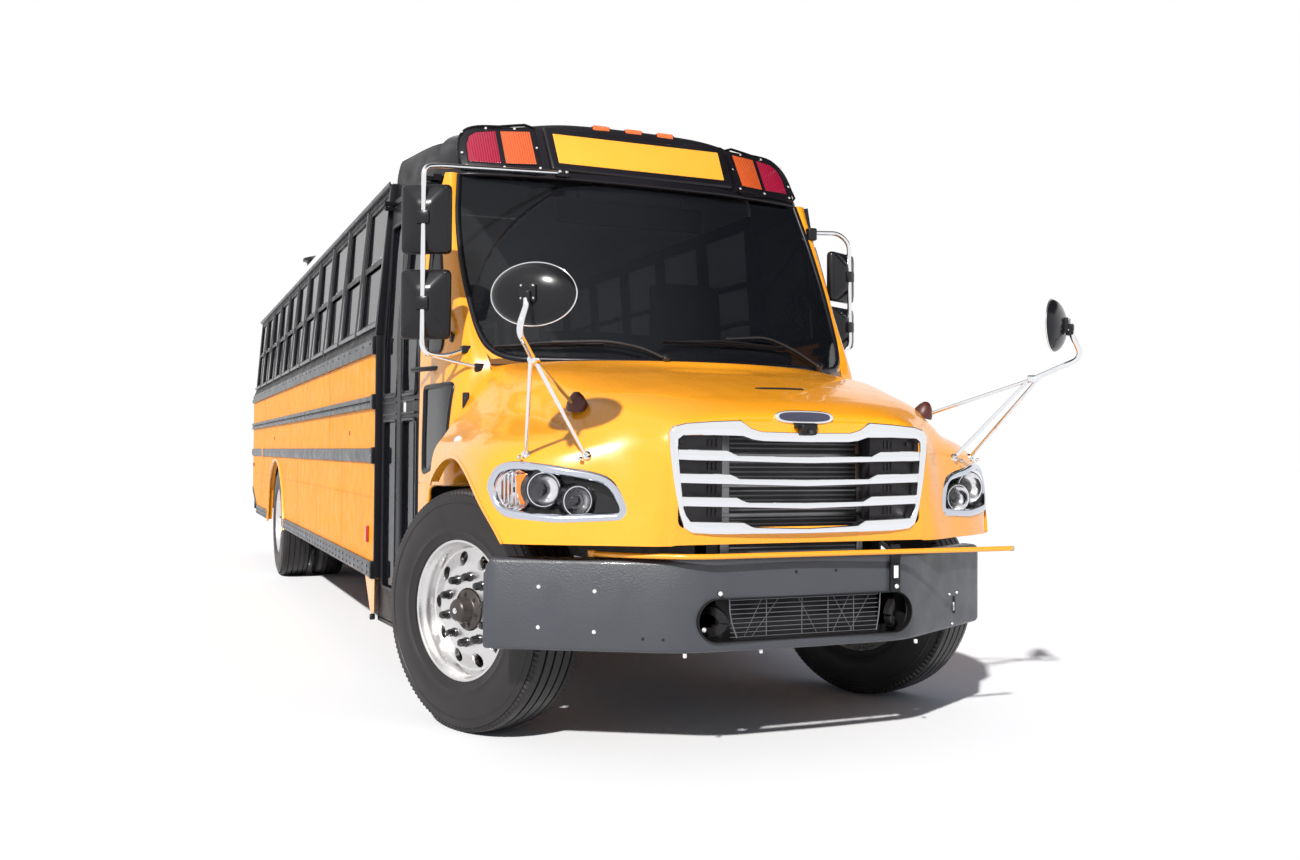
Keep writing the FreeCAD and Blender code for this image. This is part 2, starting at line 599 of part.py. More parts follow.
# The rear wall stands between the side walls and under the roof.
inner = [(x, z) for x, z in wall_line(size.wall)[1:]]
inner[0] = (inner[0][0], size.tail_low + 20)
inner.insert(1, (inner[0][0], size.belt_low))
section = inner[:-1] + roof_line(size.wall)
section = section + [(-x, z) for x, z in reversed(inner[:-1])]
rear = prism([(x, size.cabin_rear - size.wall, z) for x, z in section], (0, size.wall, 0))
half, head = size.rear_door_half, size.rear_door_high
hinge = (-half - 9, size.cabin_rear + 18)
REAR_HINGES = (1250, 1800, 2380)  # z of the foot of each leaf knuckle
for z in REAR_HINGES:
    flange = cuboid((-half - 60, -half - 9), (size.cabin_rear - 2, size.cabin_rear + 14), (z - 40, z - 4))
    rear = rear.multiFuse([flange, rod((*hinge, z - 40), (*hinge, z - 4), 9),
                           rod((*hinge, z - 4), (*hinge, z + 40), 4)])
span = (size.cabin_rear - 100, size.cabin_rear + 10)
doorway = cuboid((-half, half), span, (size.floor_high, head))
REAR_LIGHTS = [(-1020, -540), (540, 1020)]  # low x, high x of the windows beside the rear door
light_z = (size.window_low, size.window_top - 60)
lights = [cuboid(x, span, light_z) for x in REAR_LIGHTS]
part("rear_wall", rear.cut(Part.makeCompound([doorway] + lights)))
pane_y = (size.cabin_rear - 24, size.cabin_rear - 24 + size.glass)
glass_panes += [cuboid(x, pane_y, light_z) for x in REAR_LIGHTS]

leaf = cuboid((-half + size.door_gap, half - size.door_gap), (size.cabin_rear - size.wall, size.cabin_rear),
              (size.floor_high + size.door_gap, head - size.door_gap))
upper, lower = ((1780, 2440), (1260, 1680))
leaf = leaf.cut(cuboid((-320, 320), span, upper)).cut(cuboid((-320, 320), span, lower))
for z in REAR_HINGES:
    knuckle = rod((*hinge, z), (*hinge, z + 60), 9).multiFuse([
        cuboid((-half - 9, -half + 40), (size.cabin_rear + 9, size.cabin_rear + 15), (z, z + 60)),
        cuboid((-half + 14, -half + 40), (size.cabin_rear - 4, size.cabin_rear + 12), (z, z + 60))])
    leaf = leaf.fuse(knuckle).cut(rod((*hinge, z - 1), (*hinge, z + 61), 5))
part("rear_door", leaf)
part("rear_door_glass", Part.makeCompound([cuboid((-320, 320), pane_y, z) for z in (upper, lower)]))
keep("rear_bumper", joined("rear_bumper_channel", [
    block("rear_bumper_face", ("-1190", "cabin_rear + bumper_out - 60", "520"),
          ("1190", "cabin_rear + bumper_out", "frame_low + 60"))] + [
    block("rear_bumper_bracket_" + word, (low, "cabin_rear - 58", "frame_low + 2"),
          (high, "cabin_rear + bumper_out - 60", "frame_low + 48"))
    for word, low, high in (("left", "frame_half - 60", "frame_half"), ("right", "-frame_half", "60 - frame_half"))]))

# ---------------------------------------------------------------- floor, steps
slab = cuboid((-1060, 1060), (640, size.cabin_front), (size.floor_high - size.floor_thick, size.floor_high))
inner_half = size.body_half - size.wall
slab = slab.fuse(cuboid((-inner_half, inner_half), (size.cabin_front, size.cabin_rear - size.wall),
                        (size.floor_high - size.floor_thick, size.floor_high)))
well = cuboid((-1300, -500), (size.door_front - 40, size.door_rear + 20),
              (size.floor_high - 200, size.floor_high + 100))
slab = slab.cut(well)
house_top = size.rear_arch_high + 130
house = both(cuboid((580, size.body_half - size.wall), (size.rear_axle - 640, size.rear_axle + 640),
                    (size.floor_high - size.floor_thick, house_top)))
inside = both(cuboid((595, size.body_half), (size.rear_axle - 625, size.rear_axle + 625),
                     (size.floor_high - 100, house_top - 15)))
part("floor", slab.fuse(house).cut(inside).removeSplitter())

treads = []
step_x = [-1140, -930, -715, -500]
step_z = [size.door_low + 30, 580, 840, size.floor_high - size.floor_thick]
for number in range(3):
    treads.append(cuboid((step_x[number], step_x[number + 1] + 15), (size.door_front, size.door_rear),
                         (step_z[number] - 25, step_z[number])))
    treads.append(cuboid((step_x[number + 1], step_x[number + 1] + 15), (size.door_front, size.door_rear),
                         (step_z[number] - 25, step_z[number + 1])))
steps = treads[0].multiFuse(treads[1:]).removeSplitter()

# ---------------------------------------------------------------- cowl, windscreen, front cap
SCREEN = [  # z, y at the pillar, x at the pillar, y at the middle
    (1620, 336, 934, 0), (2600, 880, 962, 770)]


COWL = [  # z, then x, y of the six corners: at the screen, outer bend, rear outer, rear inner, inner bend, inner front
    (1060, (1000, 380), (1100, 385), (1142, 878), (1106, 878), (1064, 420), (1000, 412)),
    (1620, (940, 340), (1075, 430), (1137, 878), (1101, 878), (1045, 466), (952, 380)),
    (2100, (986, 612), (1050, 740), (1115, 878), (1079, 878), (1022, 765), (980, 660)),
    (2600, (970, 862), (1035, 866), (1104, 872), (1070, 880), (1035, 880), (970, 880)),
]
levels = [[(x, y, z) for x, y in corners] for z, *corners in COWL]
cowl_left = loft(levels[:2]).multiFuse([loft(levels[1:3]), loft(levels[2:])])
lower_light = prism([(900, 500, 1110), (900, 800, 1110), (900, 800, 1520), (900, 440, 1520), (900, 440, 1240)],
                    (400, 0, 0))
upper_light = prism([(900, 590, 1760), (900, 830, 1760), (900, 860, 2420), (900, 838, 2420)], (400, 0, 0))
lights = lower_light.fuse(upper_light)
deck_plan = [(-930, 350), (-700, 190), (-350, 70), (0, 20), (350, 70), (700, 190), (930, 350),
             (930, 640), (-930, 640)]
deck = prism([(x, y, 1582) for x, y in deck_plan], (0, 0, 34))
firewall = cuboid((-1060, 1060), (602, 640), (1064, 1584))
cowl = cowl_left.cut(lights).multiFuse([flipped(cowl_left.cut(lights)), deck, firewall])
part("cowl", cowl.removeSplitter())
inner_cowl = [[(x - 12, y, z) for x, y in corners[:3]] + [(x - 18, y, z) for x, y in corners[2::-1]]
              for z, *corners in COWL]
cowl_panes = loft(inner_cowl[:2]).multiFuse([loft(inner_cowl[1:3]), loft(inner_cowl[2:])]).common(lights)
glass_panes += cowl_panes.Solids + flipped(cowl_panes).Solids


def arc_band(z, corner_y, corner_x, middle_y, depth):
    """A closed crescent at a height: the screen's outer bow and the same bow a pane's depth behind it."""
    front = Part.Arc(Vector(-corner_x, corner_y, z), Vector(0, middle_y, z), Vector(corner_x, corner_y, z))
    back = Part.Arc(Vector(corner_x - depth, corner_y + depth, z), Vector(0, middle_y + depth, z),
                    Vector(-corner_x + depth, corner_y + depth, z))
    ends = [Part.LineSegment(front.EndPoint, back.StartPoint), Part.LineSegment(back.EndPoint, front.StartPoint)]
    return Part.Wire([front.toShape(), ends[0].toShape(), back.toShape(), ends[1].toShape()])


screen = Part.makeLoft([arc_band(z, y, x, mid, 10) for z, y, x, mid in SCREEN], True, True)
part("windscreen", screen)


CAP_RIB = [  # x, z of the cap's section at the front
    (1078, 2604), (1032, 2720), (1002, 2800), (925, 2868), (770, 2905), (490, 2932), (0, 2952)]
CAP_FACE = [  # x and y of the front face's plan at the cap's lower edge, from the middle outward
    (0, 752), (480, 772), (900, 858), (1030, 960), (1120, 1200), (1260, 1720)]
CAP_RAKE = [(2604, 0), (2700, 20), (2900, 160), (3060, 400)]  # z, how far the face has moved back


def cap_solid(depth):
    """The front cap: ribs that narrow from the roof's section to the front, cut to the raked, rounded face."""
    eaves = size.body_half - size.eaves_inset
    roof = [(eaves + 12, size.cap_low)] + [(x, z) for x, z in roof_line(0)[:6]]
    ribs = []
    for y, half in ((600, CAP_RIB), (1020, CAP_RIB), (size.cabin_front, roof)):
        inset = [(x - depth if x else 0, z - (0 if z == size.cap_low else depth * 0.8)) for x, z in half]
        back = y + (depth / 3 if y > 1020 else 0)
        ribs.append([(x, back, z) for x, z in inset + [(-x, z) for x, z in inset[-2::-1]]])
    body = loft(ribs[:2]).fuse(loft(ribs[1:]))
    plans = []
    for z, back in CAP_RAKE:
        half = [(x, y + depth + back, z) for x, y in CAP_FACE[:-1]]
        half.append((CAP_FACE[-1][0], CAP_FACE[-1][1] + 500, z))
        plans.append(half + [(-x, y, z) for x, y, z in half[:0:-1]])
    face = [loft([low, high]) for low, high in zip(plans, plans[1:])]
    return body.common(face[0].multiFuse(face[1:]))


cap = cap_solid(0).cut(cap_solid(30))
cap = cap.cut(cuboid((-900, 900), (905, 1800), (2500, 2640)))
part("front_cap", cap)

# ---------------------------------------------------------------- entrance doors and the driver's panel
def door_band(depth, y, z):
    """A flat-sided sheet in the plane of the left door panel, upright and then leaning in, between two depths."""
    def leaning(x, height):
        share = max(0, height - size.door_bend) / (size.door_high - size.door_bend)
        return x - size.door_lean * share, height

    def line(inward):
        x = size.door_face - inward
        bend = [(x, size.door_bend)] if z[0] < size.door_bend < z[1] else []
        return [leaning(x, z[0])] + bend + [leaning(x, z[1])]
    return band(line(depth[0]), line(depth[1]), y)


def tapered(shape, side):
    """Turns a door piece about the door's rear edge so that the body narrows towards the front."""
    turned = shape.copy() if side > 0 else flipped(shape)
    turned.rotate(Vector(side * size.door_face, size.door_rear, 0), Vector(0, 0, 1), -side * size.door_taper)
    return turned


beyond = cuboid((size.door_face - size.door_thick - 8, 1400), (size.door_front - 100, size.cabin_front),
                (200, size.floor_high + 100))
part("entrance_steps", steps.cut(tapered(beyond, -1)))

door_mid = (size.door_front + size.door_rear) / 2
DOOR_LIGHTS = [(470, 1370), (1520, 2440)]  # low z, high z of a leaf's panes
PIN_X = size.door_face - size.door_pin_depth
LEAVES = [  # name, front edge, rear edge, hinge pin
    ("front", size.door_front + size.door_gap, door_mid - size.door_part / 2, size.door_front + size.door_pin),
    ("rear", door_mid + size.door_part / 2, size.door_rear - size.door_gap, size.door_rear - size.door_pin)]
jamb_top = size.door_high + size.door_gap
header = door_band((2, 46), (size.door_front - 4, size.cabin_front - 10), (jamb_top, size.cap_low - 4))
frame = header.multiFuse([
    door_band((2, 46), (size.door_rear, size.cabin_front - 10), (size.door_low - 6, jamb_top)),
    door_band((2, 38), (size.door_front - 40, size.door_front), (size.door_low - 6, 1054)),
    door_band((0, 46), (size.door_front - 40, size.cabin_front - 10), (size.door_low - 26, size.door_low - 6))])
for word, start, end, pin_y in LEAVES:
    leaf = door_band((0, size.door_thick), (start, end), (size.door_low, size.door_high))
    holes = Part.makeCompound([cuboid((1000, 1300), (start + 55, end - 55), z) for z in DOOR_LIGHTS])
    arm = cuboid((PIN_X - 60, PIN_X + 9), (pin_y - 9, pin_y + 9), (size.door_high - 20, size.door_high))
    pins = [rod((PIN_X, pin_y, size.door_low - 24), (PIN_X, pin_y, size.door_low + 60), 8),
            rod((PIN_X, pin_y, size.door_high - 20), (PIN_X, pin_y, jamb_top + 18), 8)]
    part("door_leaf_" + word, tapered(leaf.cut(holes).multiFuse([arm] + pins), -1))
    pane = door_band((14, 14 + size.glass), (start + 55, end - 55), (size.door_low, size.door_high))
    part("door_glass_" + word, Part.makeCompound(tapered(pane.common(holes), -1).Solids))
    frame = frame.fuse(cuboid((PIN_X - 80, PIN_X + 14), (pin_y - 14, pin_y + 14), (jamb_top, jamb_top + 20)))
    frame = frame.cut(rod((PIN_X, pin_y, size.door_low - 30), (PIN_X, pin_y, size.door_low), 9))
    frame = frame.cut(rod((PIN_X, pin_y, jamb_top - 2), (PIN_X, pin_y, jamb_top + 22), 9))
part("door_frame", tapered(frame, -1))
panel = door_band((2, size.wall), (size.door_front - 12, size.cabin_front - 10),
                  (size.skirt_low, size.cap_low - 4))
window = cuboid((1000, 1300), (size.door_front + 60, size.cabin_front - 60),
                (size.window_low - 60, size.window_top - 80))
part("driver_panel", tapered(panel.cut(window), 1))
pane = door_band((14, 14 + size.glass), (size.door_front, size.cabin_front), (size.skirt_low, 2600))
part("window_glass", Part.makeCompound(glass_panes + tapered(pane.common(window), 1).Solids))

# ---------------------------------------------------------------- front bumper and crossing arm
BUMPER = [(-1172, -500), (-500, -884), (0, -900), (500, -884), (1172, -500)]  # x, y of its front face


def bumper_prism(front, z):
    """The bumper's plan behind a front line, between two heights."""
    back = [(x * 0.985, y + 86) for x, y in reversed(BUMPER)]
    return prism([(x, y, z[0]) for x, y in front + back], (0, 0, z[1] - z[0]))


bumper_top = size.bumper_high
beam = bumper_prism(BUMPER, (size.bumper_low, bumper_top))
hollow = prism([(x * 0.985, y + 10, size.bumper_low + 10) for x, y in BUMPER] +
               [(x * 0.97, y + 100, size.bumper_low + 10) for x, y in reversed(BUMPER)],
               (0, 0, size.bumper_high - size.bumper_low - 20))
slot = cuboid((-480, 480), (-1000, -700), (476, 660))
brackets = both(cuboid((size.frame_half - 60, size.frame_half), (-890, size.frame_front), (705, 785)))
pivot_y, pivot_z, ear_y = size.hood_pivot_y, size.hood_pivot_z, (size.frame_front - 12, size.frame_front)
hinges = both(rod((300, pivot_y, pivot_z), (352, pivot_y, pivot_z), 8).multiFuse([
    cuboid((340, 352), (pivot_y - 14, size.frame_front), (pivot_z - 10, pivot_z + 14)),
    cuboid((340, 372), ear_y, (785, pivot_z + 14)),
    cuboid((372, 420), ear_y, (785, pivot_z - 10))]))
arm_boss = rod((size.arm_x, size.arm_y, bumper_top - 6), (size.arm_x, size.arm_y, bumper_top + 4), 24)
part("front_bumper", beam.cut(hollow).cut(slot).multiFuse([brackets, hinges, arm_boss]))

ARM = [(0, 0), (100, -118), (320, -275), (1785, -285)]  # x, y from the arm's hinge
arm_path = [(size.arm_x + x, size.arm_y + y, size.arm_z) for x, y in ARM]
post = rod((size.arm_x, size.arm_y, bumper_top + 4.3), (size.arm_x, size.arm_y, size.arm_z + 14), 15)
part("crossing_arm", tube(arm_path, 11).fuse(post))

# ---------------------------------------------------------------- hood, grille, headlamps
HOOD = [  # y, crown z, edge x, edge z, fender x, fender z, side x, side z, lower z
    (-900, 1362, 440, 1352, 560, 1300, 640, 1180, 860),
    (-840, 1420, 500, 1404, 760, 1290, 900, 1150, 860),
    (-700, 1458, 560, 1440, 930, 1300, 1090, 1170, 860),
    (-560, 1492, 640, 1464, 1010, 1315, 1200, 1180, 860),
    (-100, 1576, 760, 1545, 1060, 1345, 1219, 1210, 860),
    (330, 1636, 860, 1618, 1040, 1480, 1215, 1240, 940),
]


def hood_section(row, inset):
    """One cross-section of the hood and fenders, moved in by an inset; it is open below."""
    y, crown, edge_x, edge_z, fender_x, fender_z, side_x, side_z, low = row
    half = [(side_x - inset, low - 60 if inset else low), (side_x - inset, side_z),
            (fender_x - inset * 0.8, fender_z - inset * 0.7), (edge_x - inset * 0.3, edge_z - inset),
            (0, crown - inset)]
    return [(x, y, z) for x, z in half] + [(-x, y, z) for x, z in half[-2::-1]]


def hood_solid(rows, inset):
    """The hood as one solid through its sections."""
    pieces = [loft([hood_section(first, inset), hood_section(second, inset)])
              for first, second in zip(rows, rows[1:])]
    return pieces[0].multiFuse(pieces[1:])


inner_rows = [list(row) for row in HOOD]
inner_rows[0][0] += 26
inner_rows[-1][0] += 60
outer_hood = hood_solid(HOOD, 0)
inner_hood = hood_solid(inner_rows, 26)
arch = both(Part.makeCylinder(size.arch_radius, 800, Vector(600, -30, size.arch_high), Vector(1, 0, 0)))
grille_mouth = cuboid((-520, 520), (-1000, -760), (908, 1328))
LAMP = [(700, 985), (735, 1105), (1085, 1180), (1165, 1150), (1180, 1085), (1000, 945)]  # x, z round a headlamp
lamp_mouth = both(prism([(x, -1000, z) for x, z in LAMP], (0, 560, 0)))
bow = Part.Arc(Vector(-946, 322, 1400), Vector(0, -16, 1400), Vector(946, 322, 1400))
rear_line = Part.makePolygon([bow.EndPoint, Vector(946, 700, 1400), Vector(-946, 700, 1400), bow.StartPoint])
behind_screen = Part.Face(Part.Wire([bow.toShape()] + rear_line.Edges)).extrude(Vector(0, 0, 400))
hood = outer_hood.cut(inner_hood).cut(behind_screen).cut(arch).cut(grille_mouth).cut(lamp_mouth)
pivot_y, pivot_z = size.hood_pivot_y, size.hood_pivot_z
lugs = both(rod((316, pivot_y, pivot_z), (332, pivot_y, pivot_z), 16)
            .fuse(cuboid((316, 332), (pivot_y, -860), (pivot_z - 6, pivot_z + 40))))
bores = both(rod((290, pivot_y, pivot_z), (360, pivot_y, pivot_z), 9))
part("hood", hood.fuse(lugs).cut(bores))

BARS = [925, 1027, 1113, 1203]  # z of the grille's bars
surround = cuboid((-556, 556), (-914, -901), (903, 1333)).fuse(cuboid((-518, 518), (-902, -874), (911, 1325)))
surround = surround.cut(cuboid((-500, 500), (-1000, -800), (950, 1290)))
bars = [cuboid((-510, 510), (-908, -880), (z - 17, z + 17)) for z in BARS[1:]]
part("grille", surround.multiFuse(bars))

lens_front = loft([[(640, -905, 900), (1250, -545, 900), (1250, -420, 900), (640, -700, 900)],
                   [(640, -905, 1250), (1250, -545, 1250), (1250, -420, 1250), (640, -700, 1250)]])
inset_lamp = [(950 + (x - 950) * 0.975, 1070 + (z - 1070) * 0.95) for x, z in LAMP]
lamp = prism([(x, -1000, z) for x, z in inset_lamp], (0, 560, 0)).common(lens_front)
part("headlamps", both(lamp))
head = Part.makeSphere(1)
squeeze = FreeCAD.Matrix()
squeeze.scale(Vector(158, 50, 110))
head = head.transformGeometry(squeeze)
head.rotate(Vector(), Vector(0, 0, 1), -38)
head.translate(Vector(size.mirror_x, size.mirror_y, size.mirror_z))
head = head.mirror(Vector(size.mirror_x, 0, 0), Vector(1, 0, 0))
JUNCTION = (1120, -922, 1540)  # where the two legs leave the arm
mirror = head.multiFuse([
    tube([(1165, -1040, 1745), (1205, -1078, 1660), (1185, -1040, 1590), JUNCTION, (820, -557, 1392)], 10),
    rod(JUNCTION, (847, -667, 1195), 8), rod(JUNCTION, (1034, -514, 1235), 8),
    Part.makeSphere(26, Vector(820, -557, 1392))])
mirror = mirror.cut(outer_hood)
solids = sorted(mirror.Solids, key=lambda solid: -solid.Volume)
part("crossview_mirrors", both(solids[0]))


# ---------------------------------------------------------------- side mirrors and wipers
def mirror_head(mast, z, turn):
    """A flat mirror's housing behind its mast, turned to face the driver, with its two clamps."""
    x, y = mast
    housing = cuboid((-117, 117), (22, 82), (z[0], z[1]))
    clamps = [rod((0, 0, height), (0, 24, height), 16) for height in (z[0] + 60, z[1] - 60)]
    housing = housing.multiFuse(clamps)
    housing.rotate(Vector(), Vector(0, 0, 1), turn)
    housing.translate(Vector(x, y, 0))
    return housing


right = tube([(-1250, 360, 1662), (-1250, 360, 2490), (-1100, 440, 2500), (-640, 760, 2640)], 11).multiFuse([
    tube([(-1250, 360, 1690), (-1080, 400, 1690)], 10), tube([(-1250, 360, 1860), (-1030, 470, 1860)], 10),
    mirror_head((-1250, 360), (2110, 2430), -28), mirror_head((-1250, 360), (1720, 2040), -28)])
right = right.cut(Part.makeCompound([flipped(cowl_left), cap]))
left = tube([(1110, 820, 1790), (1250, 760, 1790), (1250, 760, 2430), (1110, 820, 2440)], 11).multiFuse([
    mirror_head((1250, 760), (2070, 2350), 26), mirror_head((1250, 760), (1810, 2040), 26)])
part("side_mirrors", Part.makeCompound(right.Solids + left.cut(cowl_left).Solids))

blades = []
for start, end in (((-560, 70, 1660), (-20, -2, 1720)), ((250, -20, 1665), (800, 170, 1690))):
    blades.append(tube([start, end], 9))
part("wipers", Part.makeCompound(blades))

# ---------------------------------------------------------------- lamps and the blank sign
LAMPS = [(590, 735), (760, 905)]  # low x, high x of the warning lamps each side
slab_front = []
for low, high in LAMPS:
    foot, head = [[(x, y + (x - 590) * 0.25, z) for x in (low, high)] for y, z in ((788, 2672), (908, 2852))]
    slab_front.append(prism(foot + head[::-1], (0, 70, 0)))
lenses = Part.makeCompound(slab_front + [flipped(lens) for lens in slab_front])
front_lamps = lenses.cut(cap_solid(0)).Solids
sign = prism([(-480, 755, 2680), (480, 755, 2680), (480, 872, 2862), (-480, 872, 2862)], (0, 70, 0))
part("sign_front", sign.cut(cap_solid(0)))
rear_face = size.cabin_rear
part("lamps", Part.makeCompound(front_lamps + [
    solid for side in (1, -1) for solid in (
        cuboid(tuple(sorted((side * 960, side * 1080))), (rear_face, rear_face + 25), (2700, 2820)),
        cuboid(tuple(sorted((side * 800, side * 920))), (rear_face, rear_face + 25), (2720, 2840)),
        cuboid(tuple(sorted((side * 940, side * 1110))), (rear_face, rear_face + 28), (1280, 1450)),
        cuboid(tuple(sorted((side * 960, side * 1080))), (rear_face, rear_face + 25), (1000, 1120)))]))

# ---------------------------------------------------------------- stop arm, roof hatches
stop_y, stop_z = 1500, 1590  # the stop arm's hinge: behind its bracket's front face, and its middle height
turns = [math.radians(22.5 + 45 * number) for number in range(8)]
octagon = [(230 * math.cos(turn), 230 * math.sin(turn)) for turn in turns]
stop_x = size.body_half + size.rail_out + 30
blade = prism([(stop_x, stop_y + 300 + u, stop_z + v) for u, v in octagon], (12, 0, 0))
arm = cuboid((stop_x, stop_x + 12), (stop_y, stop_y + 120), (stop_z - 60, stop_z + 60))
hinge_rod = rod((stop_x + 6, stop_y, stop_z - 60), (stop_x + 6, stop_y, stop_z + 60), 12)
part("stop_arm", blade.multiFuse([arm, hinge_rod]))
lug_low, lug_high = str(stop_z - 96), str(stop_z + 96)
back_y, lug_y = str(stop_y - 70), str(stop_y + 20)
keep("stop_arm_base", joined("stop_arm_bracket", [
    block("stop_back", ("body_half", back_y, lug_low), ("body_half + 34", back_y + " + 46", lug_high))] + [
    block("stop_lug_" + word, ("body_half", back_y, foot),
          ("body_half + rail_out + 50", lug_y, foot + " + 28"))
    for word, foot in (("foot", lug_low), ("top", lug_high + " - 28"))]))

for word, y in zip(("front", "rear"), HATCHES):
    edge = size.hatch_half
    lid = cuboid((-edge, edge), (y - edge, y + edge), (size.roof_high + 28, size.roof_high + 58))
    hinge_y = y - edge - 16
    for ear in HATCH_EARS:
        lid = lid.multiFuse([rod((ear - 20, hinge_y, hinge_z), (ear + 20, hinge_y, hinge_z), 10),
                             cuboid((ear - 20, ear + 20), (hinge_y, y - edge + 10), (hinge_z - 8, hinge_z + 8))])
        lid = lid.cut(rod((ear - 25, hinge_y, hinge_z), (ear + 25, hinge_y, hinge_z), 6))
    part("roof_hatch_" + word, lid)

# ---------------------------------------------------------------- inside
def seat(x, y, cushion, back, leg):
    """A seat as its leg, cushion and back: cushion (low z, high z), back (foot z, head z), leg (low x, high x)."""
    top = size.floor_high
    return [cuboid(leg, (y - 320, y - 60), (top, top + cushion[0] - 2)),
            cuboid(x, (y - 390, y - 22), (top + cushion[0], top + cushion[1])),
            prism([(x[0], y - 20, top + back[0]), (x[0], y + 100, top + back[1]), (x[0], y + 170, top + back[1]),
                   (x[0], y + 90, top + back[0])], (x[1] - x[0], 0, 0))]


seats = []
for side in (-1, 1):
    x = tuple(sorted((side * size.aisle_half, side * (size.aisle_half + size.seat_wide))))
    leg = tuple(sorted((side * (size.aisle_half + 60), side * (size.aisle_half + 380))))
    for number in range(int(size.seat_rows) - 1):
        seats += seat(x, size.cabin_rear - 260 - number * size.seat_pitch,
                      (size.seat_high - 120, size.seat_high), (size.seat_high - 130, size.back_high), leg)
seats += seat((400, 880), 1560, (330, 450), (330, 1150), (490, 790))
part("seats", Part.makeCompound(seats))
dashboard = prism([(-900, 646, 1250), (-900, 646, 1660), (-900, 760, 1690), (-900, 860, 1600), (-900, 860, 1250)],
                  (1800, 0, 0))
wheel_centre, column = Vector(640, 960, 1800), Vector(0, 0.55, 0.835)
rim_ring = Part.makeTorus(220, 14, wheel_centre, column)
spokes = [rod(tuple(wheel_centre), tuple(wheel_centre + turn * 215), 10)
          for turn in (Vector(1, 0, 0), Vector(-1, 0, 0), column.cross(Vector(1, 0, 0)))]
boss = rod(tuple(wheel_centre - column * 30), tuple(wheel_centre + column * 20), 42)
part("steering_wheel", rim_ring.multiFuse(spokes + [boss]))
part("dashboard", dashboard.fuse(rod(tuple(wheel_centre - column * 36), tuple(wheel_centre - column * 300), 30)))

# ---------------------------------------------------------------- checks and files
doc.recompute()
for item in doc.Objects:
    if "Invalid" in item.State or "Error" in item.State:
        raise RuntimeError("%s failed: %s" % (item.Name, item.State))
os.makedirs("parts", exist_ok=True)
for node, piece in nodes.items():
    shape = piece.Shape
    if shape.isNull() or not shape.isValid() or not shape.Solids:
        raise RuntimeError("%s is not a valid solid" % node)
    shape.exportStep("parts/%s.step" % node)
    box = shape.BoundBox
    print("%-24s %2d solids  x %6.0f %6.0f  y %6.0f %6.0f  z %5.0f %5.0f" % (
        node, len(shape.Solids), box.XMin, box.XMax, box.YMin, box.YMax, box.ZMin, box.ZMax))
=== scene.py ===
"""School bus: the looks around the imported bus. Metres; +Z up, the front faces -Y, +X is the driver's side.

New pieces are drawn with Y measured from a datum line 155 mm ahead of the front axle; finished() moves each one
to its place in the frame.
"""
import math
import bpy
from mathutils import Matrix, Vector


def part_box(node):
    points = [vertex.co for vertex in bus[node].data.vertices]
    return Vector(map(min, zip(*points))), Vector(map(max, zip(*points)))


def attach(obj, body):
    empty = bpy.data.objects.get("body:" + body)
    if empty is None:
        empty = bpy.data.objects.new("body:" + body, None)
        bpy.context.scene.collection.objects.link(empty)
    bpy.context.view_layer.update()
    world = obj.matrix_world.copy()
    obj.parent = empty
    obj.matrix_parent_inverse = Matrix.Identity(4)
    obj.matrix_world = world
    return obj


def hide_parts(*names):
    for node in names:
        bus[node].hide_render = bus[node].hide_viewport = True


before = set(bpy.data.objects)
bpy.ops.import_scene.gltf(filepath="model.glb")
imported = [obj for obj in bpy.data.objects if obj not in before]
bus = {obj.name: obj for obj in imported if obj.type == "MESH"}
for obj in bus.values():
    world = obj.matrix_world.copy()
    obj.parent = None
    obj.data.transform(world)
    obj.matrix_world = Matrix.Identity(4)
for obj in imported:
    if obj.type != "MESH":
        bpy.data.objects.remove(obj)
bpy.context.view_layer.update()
scene = bpy.context.scene

# ------------ studio
# A white studio: an endless pale floor, one hard lamp high over the front right of the bus, and white
# walls all round that light it softly. One card overhead, seen only in gloss, fades from pale to dark.
scene.view_settings.view_transform = "Standard"
AXLE_Y = 0.155
axle_low, axle_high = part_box("front_axle")
datum_y = (axle_low.y + axle_high.y) / 2 - AXLE_Y


def set_at(place, degrees=0.0, about="Z"):
    """The move that turns a piece about its own origin and carries it to a place."""
    return Matrix.Translation(place) @ Matrix.Rotation(math.radians(degrees), 4, about)


camera = bpy.data.objects.new("camera", bpy.data.cameras.new("camera"))
scene.collection.objects.link(camera)
camera.data.lens, camera.data.sensor_width, camera.data.clip_end = 33.31, 36, 200
CAMERA_YAW, CAMERA_PITCH, CAMERA_ROLL = 22.798, 1.093, -0.447
camera.matrix_world = (set_at((-2.402, datum_y - 5.051, 1.209), -CAMERA_YAW)
                       @ set_at((0, 0, 0), 90 + CAMERA_PITCH, "X") @ set_at((0, 0, 0), -CAMERA_ROLL))
scene.camera = camera


def fed(tree, node, inputs):
    """Gives a node's inputs their values, or links them to the outputs that feed them."""
    for socket, value in inputs.items():
        if isinstance(value, bpy.types.NodeSocket):
            tree.links.new(value, node.inputs[socket])
        else:
            node.inputs[socket].default_value = value
    return node


def added(tree, kind, inputs={}, **settings):
    """A new node with its settings and inputs."""
    node = tree.nodes.new("ShaderNode" + kind)
    for setting, value in settings.items():
        setattr(node, setting, value)
    return fed(tree, node, inputs)


def blank_skin(name):
    """A new material, its node tree and its shader."""
    skin = bpy.data.materials.new(name)
    skin.use_nodes = True
    return skin, skin.node_tree, skin.node_tree.nodes["Principled BSDF"]


def staged_plane(name, skin, size, place=(0, 0, 0)):
    """A level plane of the studio, which isn't part of the bus."""
    bpy.ops.object.select_all(action="DESELECT")
    bpy.ops.mesh.primitive_plane_add(size=size, location=place)
    plane = bpy.context.object
    plane.name = name
    plane.data.materials.append(skin)
    return plane


